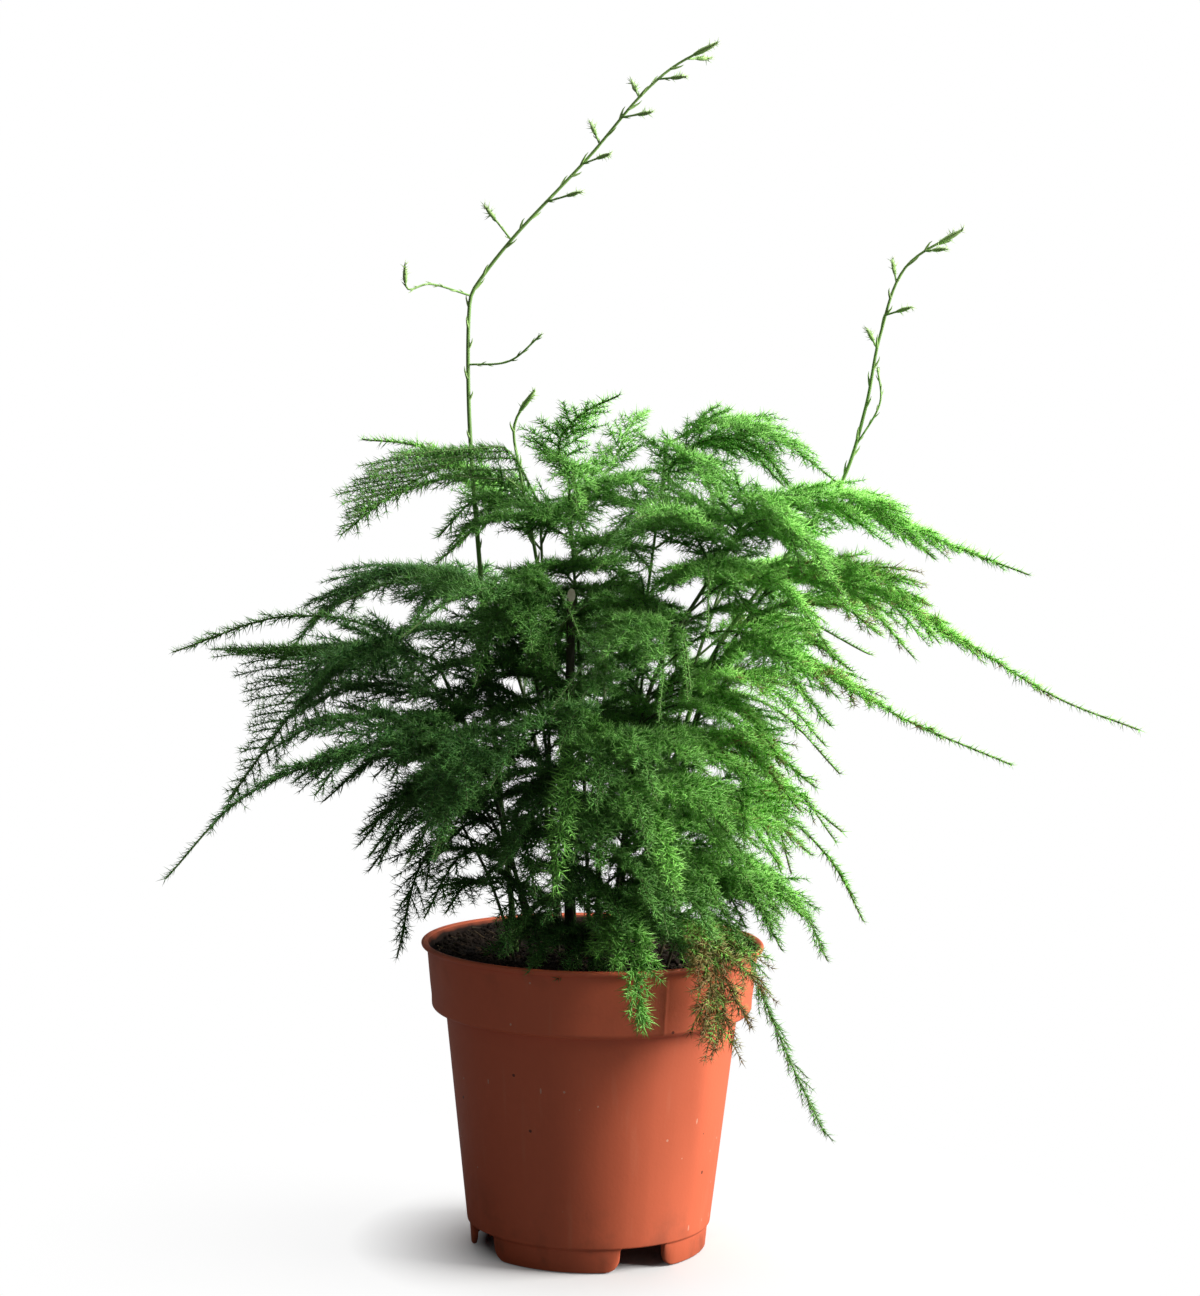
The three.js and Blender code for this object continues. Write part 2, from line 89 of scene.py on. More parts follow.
# Every stalk: its thickness, then its course from the soil upwards.
STALKS = {
    "stalk_right_top": (1.1, (9, -6, 0), (18, -18, 95), (42, 0, 139), (52, 10, 156)),
    "stalk_top_right": (0.9, (8, 13, 0), (15, 27, 100), (24, 31, 180)),
    "stalk_right_mid": (1.1, (19, 1, 0), (37, 8, 90), (62, 10, 134)),
    "stalk_right_low": (1.0, (15, -14, 0), (31, -16, 70), (42, -10, 112)),
    "stalk_right_skirt": (0.8, (24, 9, 0), (38, 2, 36), (47, -3, 60)),
    "stalk_rim_right": (0.8, (26, -13, 0), (33, -15, 18), (40, -18, 30)),
    "stalk_front_rim": (0.8, (15, -28, 0), (14, -34, 18), (13, -40, 28)),
    "stalk_front": (0.9, (1, -22, 0), (2, -28, 50), (0, -34, 84)),
    "stalk_left": (1.0, (-21, -3, 0), (-36, -3, 60), (-56, 0, 104)),
    "stalk_left_low": (0.9, (-17, -14, 0), (-34, -19, 48), (-56, -24, 80)),
    "stalk_left_skirt": (0.8, (-27, -12, 0), (-36, -16, 30), (-45, -20, 48)),
    "stalk_top_left": (0.9, (-13, 16, 0), (-17, 23, 80), (-21, 20, 158)),
    "stalk_upper_left": (0.9, (-12, 5, 0), (-17, 5, 70), (-26, 1, 123)),
    "stalk_top_centre": (0.9, (-1, 9, 0), (-6, 13, 100), (-11, 10, 168)),
    "stalk_centre": (0.9, (6, 3, 0), (12, 2, 60), (16, -4, 100)),
    "stalk_back_left": (1.0, (-11, 27, 0), (-24, 42, 80), (-42, 54, 128)),
    "stalk_back_right": (1.0, (13, 27, 0), (30, 44, 80), (46, 58, 130)),
    "stalk_back": (0.9, (1, 34, 0), (3, 50, 64), (3, 68, 112)),
}

# Every frond: its stalk, how far up that stalk it leaves, its width, then its course.
FRONDS = {
    "frond_right_upper": ("stalk_right_top", 1, 40, (72, 4, 160), (96, -6, 157), (118, -20, 148),
        (145, -30, 138)),
    "frond_top_right": ("stalk_top_right", 1, 34, (40, 27, 188), (60, 18, 184), (82, 2, 168)),
    "frond_right_mid": ("stalk_right_mid", 1, 38, (98, 0, 130), (126, -20, 114), (155, -40, 97),
        (180, -50, 88)),
    "frond_right_thin": ("stalk_right_mid", 0.72, 18, (68, 34, 118), (99, 42, 105)),
    "frond_right_low": ("stalk_right_low", 1, 34, (70, -22, 108), (101, -50, 91), (135, -70, 78)),
    "frond_right_drop": ("stalk_right_low", 0.7, 26, (50, -28, 82), (74, -40, 66)),
    "frond_right_skirt": ("stalk_right_skirt", 1, 26, (68, 0, 50), (84, 2, 34), (95, 2, 14)),
    "frond_left_long": ("stalk_left", 1, 40, (-76, -4, 109), (-99, -15, 92), (-124, -32, 58)),
    "frond_left_mid": ("stalk_left", 0.8, 34, (-68, 20, 104), (-84, 32, 114), (-114, 32, 116),
        (-150, 18, 104)),
    "frond_left_low": ("stalk_left_low", 1, 30, (-82, -42, 76), (-116, -60, 62), (-140, -66, 36)),
    "frond_left_skirt": ("stalk_left_skirt", 1, 20, (-58, -30, 38), (-66, -38, 6)),
    "frond_left_drop": ("stalk_left", 0.5, 24, (-56, 14, 62), (-80, 16, 32)),
    "frond_top_left": ("stalk_top_left", 1, 36, (-41, 4, 168), (-61, -16, 165), (-82, -36, 155)),
    "frond_top_left_back": ("stalk_top_left", 0.9, 30, (-44, 38, 168), (-66, 44, 178), (-86, 46, 180)),
    "frond_upper_left": ("stalk_upper_left", 1, 34, (-48, -4, 132), (-68, -6, 132), (-88, -8, 124)),
    "frond_upper_front": ("stalk_upper_left", 0.86, 30, (-24, -26, 128), (-44, -46, 130), (-64, -62, 116)),
    "frond_top_centre": ("stalk_top_centre", 1, 26, (-14, -8, 180), (-6, -26, 190), (6, -42, 196)),
    "frond_top_back": ("stalk_top_centre", 0.9, 26, (4, 34, 172), (12, 54, 188), (18, 72, 192)),
    "frond_centre_front": ("stalk_centre", 1, 36, (20, -34, 120), (22, -62, 114), (20, -88, 92)),
    "frond_centre_right": ("stalk_centre", 0.8, 30, (42, 28, 92), (66, 42, 84), (90, 54, 60)),
    "frond_centre_left": ("stalk_left_low", 0.75, 30, (-38, -42, 76), (-44, -62, 70), (-52, -82, 46)),
    "frond_centre_back": ("stalk_centre", 0.62, 28, (0, 22, 82), (-14, 38, 92), (-30, 62, 84)),
    "frond_mid_right": ("stalk_right_top", 0.58, 32, (38, -42, 104), (58, -60, 100), (74, -76, 84)),
    "frond_upper_mid": ("stalk_right_top", 0.86, 30, (32, -22, 150), (22, -44, 158), (12, -64, 156)),
    "frond_front_upper": ("stalk_front", 1, 30, (-4, -54, 82), (-10, -74, 62), (-13, -84, 36)),
    "frond_front_lower": ("stalk_front", 0.68, 26, (14, -46, 60), (22, -66, 52), (26, -80, 36)),
    "frond_back_left": ("stalk_back_left", 1, 40, (-70, 76, 132), (-100, 98, 118), (-124, 114, 92)),
    "frond_back_right": ("stalk_back_right", 1, 40, (72, 80, 136), (100, 104, 122), (124, 122, 98)),
    "frond_back_high": ("stalk_back", 1, 38, (0, 95, 118), (-4, 124, 106), (-8, 148, 80)),
    "frond_back_skirt_left": ("stalk_back_left", 0.55, 28, (-48, 62, 62), (-68, 80, 46), (-82, 90, 18)),
    "frond_back_skirt_right": ("stalk_back_right", 0.55, 28, (50, 66, 64), (66, 86, 46), (76, 98, 16)),
    "frond_back_low": ("stalk_back", 0.5, 26, (4, 76, 42), (2, 92, 28), (0, 100, 4)),
}

# Fronds that hang over the lip: degrees from the front, distance out from it, height above it.
HANGING = {
    "frond_rim_front": ("stalk_front_rim", 1, 20, (10, -4, 14), (11, 8, 6), (14, 12, -14)),
    "frond_rim_right": ("stalk_front_rim", 0.6, 22, (34, -16, 14), (36, 5, 10), (36, 12, -22)),
    "frond_rim_side": ("stalk_rim_right", 1, 22, (68, 4, 26), (68, 16, 18), (68, 26, 0)),
    "frond_trail": ("stalk_rim_right", 0.75, 14, (54, 2, 8), (55, 10, -10), (58, 20, -34), (60, 31, -56)),
}

# Fronds that grow unlike the rest: the share that is a bare whip at the end (tail) or bare at the
# foot (bare), the lean to one side (bank), width, needle size, tone, and how blunt the outline is.
# A given tone takes the place of the tone set by place, which paints light and shade into the needles; so it
# holds that frond's painted light and shade as well as its needle colour.
HABITS = {
    "frond_right_upper": {"tail": 0.20, "bank": 0.25},
    "frond_right_mid": {"tail": 0.42, "bank": 0.30, "spread": 2.1},
    "frond_right_low": {"tail": 0.40, "bank": 0.25, "spread": 2.0},
    "frond_right_thin": {"tail": 0.5, "spread": 1.2},
    "frond_left_long": {"tail": 0.42, "bank": -0.45, "spread": 2.0},
    "frond_left_mid": {"tail": 0.10, "bank": -0.75, "spread": 0.4, "bare": 0.3, "tone": 0.40},
    "frond_left_low": {"tail": 0.36, "bank": -0.35},
    "frond_upper_left": {"tail": 0.34},
    "frond_top_left": {"tail": 0.12, "bank": -0.55, "spread": 0.6, "tone": 0.42},
    "frond_front_upper": {"tail": 0.05, "needle": 1.3, "spread": 0.6, "tone": 0.5, "taper": 0.35},
    "frond_front_lower": {"tail": 0.05, "needle": 1.3, "spread": 0.7, "tone": 0.6, "taper": 0.35},
    "frond_centre_right": {"tail": 0.4, "spread": 0.9},
    "frond_right_skirt": {"tail": 0.3, "spread": 1.1},
    "frond_rim_front": {"tail": 0.0, "needle": 1.35, "spread": 1.4, "tone": 0.5, "taper": 0.3},
    "frond_rim_right": {"tail": 0.0, "needle": 1.05, "spread": 2.4, "tone": 0.83, "taper": 0.35, "bare": 0.3},
    "frond_trail": {"tail": 0.0, "needle": 0.85, "spread": 1.3, "tone": 0.34, "taper": 0.2},
}

# Smaller sprays on a frond's stalk: how far up it, degrees from the front, length.
COMPANIONS = {
    "frond_right_upper": ((0.96, 70, 72), (0.88, 30, 70), (0.80, 110, 66), (0.70, -20, 60),
        (0.62, 60, 66)),
    "frond_top_right": ((0.97, 120, 50), (0.92, 20, 56), (0.86, -60, 54), (0.80, 80, 60), (0.72, 40, 62),
        (0.95, 60, 54), (0.90, 150, 50), (0.66, 0, 56)),
    "frond_right_mid": ((0.95, 60, 70), (0.88, 120, 60), (0.78, 75, 46), (0.62, 40, 48), (0.52, 80, 36)),
    "frond_right_low": ((0.94, 30, 62), (0.84, 80, 44), (0.70, 100, 34), (0.56, 20, 50), (0.44, 60, 34)),
    "frond_right_skirt": ((0.90, 60, 46), (0.70, 100, 38), (0.80, 30, 46), (0.55, 60, 38),
        (0.40, 90, 34), (0.45, 30, 40), (0.90, 90, 42), (0.95, 10, 46)),
    "frond_right_drop": ((0.46, 50, 46), (0.38, 85, 34), (0.34, 25, 46), (0.30, 70, 38), (0.24, 40, 46),
        (0.42, 5, 50), (0.50, 80, 36)),
    "frond_left_long": ((0.96, -60, 62), (0.84, -95, 60), (0.70, -40, 56), (0.78, -20, 58),
        (0.64, -85, 56), (0.50, -60, 52)),
    "frond_left_low": ((0.92, -50, 56), (0.62, -35, 48), (0.98, -75, 58), (0.70, -60, 48)),
    "frond_left_skirt": ((0.60, -20, 40),),
    "frond_top_left": ((0.97, -60, 40), (0.92, 20, 46), (0.80, -150, 36), (0.72, -60, 26), (0.64, 10, 48)),
    "frond_top_left_back": ((0.94, 160, 44), (0.84, 60, 44)),
    "frond_upper_left": ((0.86, -50, 54), (0.76, 20, 50), (0.66, -80, 50), (0.56, -30, 52),
        (0.90, 10, 54), (0.45, -10, 54), (0.70, -60, 56), (0.38, -70, 50)),
    "frond_upper_front": ((0.90, 30, 58), (0.70, -20, 56), (0.60, 50, 54), (0.80, -50, 58),
        (0.50, 0, 54), (0.95, 0, 58), (0.98, 60, 50), (0.98, 20, 54), (0.90, -20, 58)),
    "frond_top_centre": ((0.96, 60, 44), (0.90, -70, 44), (0.80, 150, 40), (0.72, 20, 54),
        (0.62, -40, 56), (0.98, 0, 50), (0.50, 10, 56), (0.56, -80, 50), (0.78, -20, 56), (0.84, 30, 54),
        (0.88, -60, 52), (0.72, -50, 50)),
    "frond_centre_front": ((0.95, -30, 62), (0.86, 50, 60), (0.74, -60, 56), (0.60, 10, 60),
        (0.50, 60, 54), (0.44, -20, 60), (0.36, 30, 58), (0.28, 70, 58), (0.24, 0, 54), (0.68, -10, 60),
        (0.80, 20, 60)),
    "frond_centre_right": ((0.90, 95, 44), (0.70, 70, 46), (0.55, 110, 40), (0.42, 80, 44)),
    "frond_centre_left": ((0.66, -20, 54), (0.58, -70, 46), (0.80, -10, 54), (0.50, 10, 56),
        (0.42, -35, 48), (0.36, 30, 50), (0.30, -10, 44), (0.90, 10, 56), (0.20, 0, 40), (0.14, 40, 42)),
    "frond_centre_back": ((0.80, 170, 50), (0.70, -150, 50)),
    "frond_mid_right": ((0.66, 10, 62), (0.52, 45, 54), (0.46, -15, 58), (0.38, 30, 52), (0.30, 60, 46),
        (0.24, 20, 54), (0.20, 60, 54), (0.34, -10, 56), (0.42, 70, 60), (0.56, -30, 60)),
    "frond_upper_mid": ((0.90, -40, 62), (0.82, 0, 62), (0.76, 50, 62), (0.72, -60, 58), (0.95, 20, 60),
        (0.66, 10, 60), (0.60, -30, 58), (0.96, -60, 58), (0.92, 40, 56), (0.80, 150, 50),
        (0.66, 170, 50), (0.72, 120, 44), (0.56, 140, 46)),
    "frond_front_upper": ((0.96, -40, 54), (0.92, 40, 58), (0.84, 5, 50), (0.78, -60, 50),
        (0.88, 80, 54), (0.70, 20, 52), (0.66, -40, 50), (0.50, -60, 46), (0.42, -20, 44),
        (0.60, -5, 50), (0.30, -40, 42), (0.20, -70, 40), (0.15, -20, 34)),
    "frond_front_lower": ((0.74, 50, 54), (0.62, -15, 48), (0.56, 70, 54), (0.48, 25, 50),
        (0.40, 60, 46), (0.34, 10, 44), (0.30, 80, 50), (0.26, 45, 44), (0.20, -30, 40), (0.18, 70, 44),
        (0.90, 20, 54)),
    "frond_back_left": ((0.92, -150, 66), (0.80, -110, 60), (0.70, 180, 56)),
    "frond_back_right": ((0.92, 150, 66), (0.80, 110, 60), (0.70, 170, 56)),
    "frond_back_high": ((0.92, 150, 60), (0.84, -150, 60), (0.70, 180, 56)),
    "frond_rim_front": ((0.90, -35, 26), (0.80, 30, 30)),
    "frond_rim_right": ((0.90, 50, 36), (0.80, 75, 32), (0.95, 25, 34), (0.70, 60, 34), (0.85, 95, 30)),
    "frond_rim_side": ((0.90, 60, 38), (0.80, 85, 36), (0.90, 30, 38), (0.70, 50, 40), (0.95, 75, 36),
        (0.50, 20, 34), (0.70, 75, 30), (0.95, 50, 34)),
}

# One sided combs on a frond: the rib's course, the longest tooth, how fast the rest shorten,
# how long the hanging ones grow.
COMBS = {
    "frond_left_mid": (
        ((-73, 20, 106), (-87, 21, 106), (-95, 21, 98), (-104, 21, 88), (-115, 20, 74), (-130, 18, 51)),
        64, 2.0, 8),
    "frond_top_left": (((-34, 4, 178), (-52, -8, 172), (-70, -18, 162), (-87, -26, 148)), 42, 1.3, 1),
}

# Openings in the foliage before the stub, a leaning stalk and under the right fronds:
# left and right, low and high, and how far back they go.
CLEARINGS = (
    (-13, -4, 96, 138, -20), (17, 24, 86, 102, -22), (22, 32, 98, 118, -16), (30, 42, 114, 136, -8),
    (76, 130, 40, 72, 200),
)

# Long young shoots: the course, then the short twigs.
SHOOTS = {
    "shoot_tall": (
        ((-27, 5, 0), (-35, 9, 70), (-41, 11, 130), (-46, 11, 190), (-46.4, 10, 224), (-45.6, 10, 231),
         (-42, 9.6, 237), (-31, 8, 251), (-5, 5, 279), (12, 0, 299), (23, 0, 309), (38, -4, 317)),
        (((-46, 11, 206), (-32, 6, 208), (-21, 0, 217)),
         ((-47, 10, 230), (-60, 2, 234), (-67, -3, 232), (-68, -4, 240)),
         ((-32, 8, 251), (-41, 1, 261)),
         ((-20, 7, 264), (-8, -2, 266)),
         ((-8, 5, 276), (2, -4, 279)),
         ((-2, 4, 283), (-5, 10, 291)),
         ((6, 2, 292), (16, -6, 293)),
         ((12, 0, 299), (9, 6, 305)),
         ((18, 0, 304), (27, -7, 305)),
         ((27, -1, 311), (36, 6, 313))),
    ),
    "shoot_right": (
        ((17, 18, 0), (38, 22, 98), (68, 27, 142), (86, 27, 167), (94, 25, 194),
         (98, 20, 219), (106, 15, 243), (125, 10, 256)),
        (((90, 26, 180), (99, 24, 196), (98, 26, 208)),
         ((97, 21, 214), (94, 27, 222)),
         ((99, 19, 226), (108, 12, 229)),
         ((104, 16, 238), (102, 22, 246)),
         ((112, 13, 248), (119, 6, 249))),
    ),
    "shoot_bare": (
        ((-6, -5, 0), (-13, 6, 84), (-22, 13, 140), (-28, 11, 170), (-30, 9, 186), (-23, 4, 198)),
        (((-26, 12, 162), (-33, 6, 168)),),
    ),
}

STUB = ((-8, -14, 0), (-9, -19, 60), (-9, -20, 126))
STUB_SIDES = 14

# How deep every stalk stands in the soil, in millimetres.
PLANTED = 8

# Steps along the courses, and the least and greatest gaps between what grows on them, in metres.
FROND_STEP = 0.0025
STALK_STEP = 0.004
STEM_STEP = 0.002
SHOOT_STEP = 0.003
TWIG_STEP = 0.0012
BRANCH_GAP = (0.0021, 0.0031)
TWIG_GAP = (0.0034, 0.0048)
TOOTH_GAP = (0.0036, 0.0052)
BARB_GAP = (0.0015, 0.0024)

# The shortest branch that still carries twigs, and the shortest twig that is grown.
BRANCHED = 0.008
LEAST_TWIG = 0.0022

# ---------------------------------------------------------------------------
# The pot's own sizes in millimetres, and its turns in degrees from the right
# ---------------------------------------------------------------------------

FOOT_REACH = 41.4
NOTCH_HALF, NOTCH_TOP, NOTCH_CORNER, NOTCH_INNER = 8.5, 8.4, 5.0, 1.5
NOTCHES = 4
FIRST_NOTCH = -63.0
SEAM = -64.3
SEAM_HALF, SEAM_RISE = 0.35, 0.16
FLOOR_TOP, FLOOR_UNDER = 10.2, 9.0
FLOOR_RINGS = (5, 10, 16, 22, 28, 34)
DRAINS, DRAIN_REACH, DRAIN_RADIUS = 8, 27.0, 4.0
SOIL_EDGE = 55.3

# ---------------------------------------------------------------------------
# Sizes and colours that a user would change
# ---------------------------------------------------------------------------


class FernPlant(bpy.types.PropertyGroup):
    """Sizes and colours of the plant"""

    needle_length: FloatProperty(
        name="Needle length", description="Length of a full needle",
        default=0.0056, min=0.001, unit="LENGTH")
    needle_width: FloatProperty(
        name="Needle width", description="Width of a needle at its foot",
        default=0.00062, min=0.00005, unit="LENGTH")
    needles: IntProperty(
        name="Needles a tuft", description="How many needles spread from one place",
        default=5, min=1)
    tuft_spacing: FloatProperty(
        name="Tuft spacing", description="Distance between tufts along a twig",
        default=0.0015, min=0.0003, unit="LENGTH")
    fullness: FloatProperty(
        name="Fullness", description="Width of a spray against its laid out width",
        default=1.9, min=0.2)
    # Deep and bright green are the ends of the needles' tone: old and young growth, and also painted shade
    # and painted light, as the tone set by place picks it.
    deep_green: FloatVectorProperty(
        name="Deep green", description="Colour of the oldest needles",
        default=(0.028, 0.150, 0.030), size=3, subtype="COLOR")
    bright_green: FloatVectorProperty(
        name="Bright green", description="Colour of the youngest needles",
        default=(0.37, 0.90, 0.15), size=3, subtype="COLOR")


class FernPot(bpy.types.PropertyGroup):
    """Sizes and colours of the pot and its soil"""

    wall: FloatProperty(
        name="Wall", description="Thickness of the plastic",
        default=0.0012, min=0.0004, unit="LENGTH")
    plastic: FloatVectorProperty(
        name="Plastic", description="Colour of the pot",
        default=(0.77, 0.165, 0.075), size=3, subtype="COLOR")
    soil: FloatVectorProperty(
        name="Soil", description="Colour of the moist soil",
        default=(0.012, 0.008, 0.006), size=3, subtype="COLOR")
    crumbs: FloatProperty(
        name="Crumbs", description="Crumbs on each square metre of soil",
        default=420000.0, min=0.0)


class FernStage(bpy.types.PropertyGroup):
    """Camera place, pitch, roll and lens"""

    distance: FloatProperty(
        name="Distance", description="Camera to the pot's axis, level",
        default=1.0, min=0.1, unit="LENGTH")
    height: FloatProperty(
        name="Height", description="Camera above the floor",
        default=0.283, unit="LENGTH")
    pitch: FloatProperty(
        name="Pitch", description="How far the camera looks down",
        default=0.073, subtype="ANGLE")
    roll: FloatProperty(
        name="Roll", description="How far the camera leans",
        default=0.015, subtype="ANGLE")
    lens: FloatProperty(
        name="Lens", description="Focal length in millimetres",
        default=80.0, min=10.0)


# ---------------------------------------------------------------------------
# Node trees
# ---------------------------------------------------------------------------


class Wire:
    """A socket that can stand in a sum: each operation adds a Math node."""

    def __init__(self, graph, socket):
        self.graph = graph
        self.socket = socket

    def _math(self, operation, other, swapped=False):
        pair = (other, self) if swapped else (self, other)
        return self.graph.out("ShaderNodeMath", dict(enumerate(pair)), operation=operation)

    def __add__(self, other):
        return self._math("ADD", other)

    def __radd__(self, other):
        return self._math("ADD", other, True)

    def __sub__(self, other):
        return self._math("SUBTRACT", other)

    def __rsub__(self, other):
        return self._math("SUBTRACT", other, True)

    def __mul__(self, other):
        return self._math("MULTIPLY", other)

    def __rmul__(self, other):
        return self._math("MULTIPLY", other, True)

    def __truediv__(self, other):
        return self._math("DIVIDE", other)

    def __rtruediv__(self, other):
        return self._math("DIVIDE", other, True)

    def __pow__(self, other):
        return self._math("POWER", other)

    def __gt__(self, other):
        return self._math("GREATER_THAN", other)

    def __lt__(self, other):
        return self._math("LESS_THAN", other)

    def least(self, other):
        return self._math("MINIMUM", other)

    def most(self, other):
        return self._math("MAXIMUM", other)

    def kept(self):
        """The value held between 0 and 1."""
        return self.least(1.0).most(0.0)

    def ramp(self, low, high):
        """0 at low, 1 at high, straight between."""
        return ((self - low) / (high - low)).kept()


class Graph:
    """Adds nodes to a tree and joins them. What most methods return can stand in a sum."""

    def __init__(self, tree):
        self.tree = tree

    def node(self, kind, settings=None, sockets=None):
        made = self.tree.nodes.new(kind)
        for key, value in (settings or {}).items():
            if key == "stops":
                self._stops(made.color_ramp, value)
            else:
                setattr(made, key, value)
        for key, value in (sockets or {}).items():
            self.feed(made.inputs[key], value)
        return made

    def feed(self, socket, value):
        if isinstance(value, Wire):
            value = value.socket
        if isinstance(value, bpy.types.NodeSocket):
            self.tree.links.new(value, socket)
        else:
            socket.default_value = value

    def out(self, kind, sockets=None, output=0, **settings):
        """One output of a new node, ready to stand in a sum."""
        return Wire(self, self.node(kind, settings, sockets).outputs[output])

    def vector(self, x, y=0.0, z=0.0):
        return self.out("ShaderNodeCombineXYZ", {0: x, 1: y, 2: z})

    def parts(self, vector):
        """The three parts of a vector."""
        node = self.node("ShaderNodeSeparateXYZ", {}, {0: vector})
        return [Wire(self, socket) for socket in node.outputs]

    def turned(self, x, y, z):
        return self.out("FunctionNodeEulerToRotation", {0: self.vector(x, y, z)})

    def here(self):
        """Object coordinates."""
        return self.out("ShaderNodeTexCoord", output="Object")

    def grain(self, where, scale, detail):
        return self.out("ShaderNodeTexNoise", {"Vector": where, "Scale": scale, "Detail": detail})

    def cells(self, where, scale, channel):
        """Distance to the nearest seed of a cell, and a number that each cell holds."""
        node = self.node("ShaderNodeTexVoronoi", {"feature": "F1"}, {"Vector": where, "Scale": scale})
        held = self.out("ShaderNodeSeparateColor", {0: node.outputs["Color"]}, channel)
        return Wire(self, node.outputs["Distance"]), held

    def bump(self, shader, height, strength, distance):
        given = {"Strength": strength, "Distance": distance, "Height": height}
        self.feed(shader.inputs["Normal"], self.out("ShaderNodeBump", given))

    def fact(self, name, kind="FLOAT"):
        """A value that the mesh carries at each point."""
        return self.out("GeometryNodeInputNamedAttribute", {"Name": name}, data_type=kind)

    def store(self, geometry, name, value, kind="FLOAT", domain="POINT"):
        given = {"Geometry": geometry, "Name": name, "Value": value}
        return self.out("GeometryNodeStoreNamedAttribute", given, data_type=kind, domain=domain)

    def chart(self, geometry, across, along):
        """Stores the chart OFBake that the looks read."""
        return self.store(geometry, "OFBake", self.vector(across, along), "FLOAT2", "CORNER")

    def chance(self, low, high, seed, label=None):
        """A number between two others, drawn for each element."""
        given = {2: low, 3: high, "Seed": seed}
        if label is not None:
            given["ID"] = label
        return self.out("FunctionNodeRandomValue", given, 1, data_type="FLOAT")

    def strewn(self, points, shape, turn, size, chosen=True):
        """Real copies of a shape on points."""
        laid = self.out("GeometryNodeInstanceOnPoints", {
            "Points": points, "Selection": chosen, "Instance": shape, "Rotation": turn, "Scale": size})
        return self.out("GeometryNodeRealizeInstances", {"Geometry": laid})

    def painted(self, geometry, look):
        return self.out("GeometryNodeSetMaterial", {"Geometry": geometry, "Material": look})

    def mix(self, amount, first, second, blend="MIX"):
        """A colour between two others."""
        node = self.node("ShaderNodeMix", {"data_type": "RGBA", "blend_type": blend})
        self.feed(node.inputs[0], amount)
        self.feed(node.inputs[6], first)
        self.feed(node.inputs[7], second)
        return node.outputs[2]

    @staticmethod
    def _stops(ramp, stops):
        while len(ramp.elements) > 1:
            ramp.elements.remove(ramp.elements[-1])
        for i, (place, colour) in enumerate(stops):
            element = ramp.elements[0] if i == 0 else ramp.elements.new(place)
            element.position = place
            element.color = (*colour, 1.0)


def material(name, roughness, shine=0.5):
    """A new material with a Principled shader, as its graph, the shader and itself."""
    made = bpy.data.materials.new(name)
    made.use_nodes = True
    made.node_tree.nodes.clear()
    graph = Graph(made.node_tree)
    shader = graph.node("ShaderNodeBsdfPrincipled", {}, {"Roughness": roughness, "Specular IOR Level": shine})
    graph.node("ShaderNodeOutputMaterial", {}, {"Surface": shader.outputs[0]})
    return graph, shader, made


def blended(low, high, amount):
    """A colour part of the way from one to another."""
    return tuple(a + (b - a) * amount for a, b in zip(low, high))


def drawn(name, bm):
    """The mesh of a shape built in bm."""
    mesh = bpy.data.meshes.new(name)
    bm.to_mesh(mesh)
    bm.free()
    return mesh


def linked(name, data):
    """An object in the scene."""
    made = bpy.data.objects.new(name, data)
    bpy.context.collection.objects.link(made)
    return made


def needle_look(name, tones, tip, roughness=0.5):
    """Colour by tone across the chart and, lightly, by the place along the needle."""
    graph, shader, made = material(name, roughness, 0.35)
    tone, along, _ = graph.parts(graph.out("ShaderNodeUVMap", uv_map="OFBake"))
    body = graph.out("ShaderNodeValToRGB", {0: tone}, stops=tones)
    graph.feed(shader.inputs["Base Color"], graph.mix((along ** 2) * 0.45, body, (*tip, 1.0)))
    return made


def green_tones(plant):
    """Needle colours from deep to bright, then the withered browns. Deep to bright stands for old to young
    growth and also for painted shade to painted light, as the tone set by place picks it.
    """
    deep, bright = tuple(plant.deep_green), tuple(plant.bright_green)
    return [
        (0.0, blended(deep, bright, 0.0)),
        (0.35, blended(deep, bright, 0.22)),
        (0.6, blended(deep, bright, 0.5)),
        (0.86, bright),
        (0.9, (0.30, 0.22, 0.07)),
        (1.0, (0.20, 0.10, 0.035)),
    ]


# ---------------------------------------------------------------------------
# Courses and twigs
# ---------------------------------------------------------------------------


def spot(point):
    """A point of the plant: millimetres from the axis, height above the soil."""
    x, y, up = point
    return Vector((AXIS.x + x * MM, AXIS.y + y * MM, SOIL_TOP + up * MM))


def over_lip(point):
    """A point by the lip: degrees from the front, millimetres out from it and above it."""
    turn, out, up = point
    angle = math.radians(turn - 90)
    reach = LIP_RADIUS + out * MM
    return Vector((
        AXIS.x + reach * math.cos(angle), AXIS.y + reach * math.sin(angle), LIP_HEIGHT + up * MM))


def planted(course):
    """A course's points, with its foot in the soil."""
    points = [spot(p) for p in course]
    foot = points[0].copy()
    foot.z -= PLANTED * MM
    return [foot, *points]


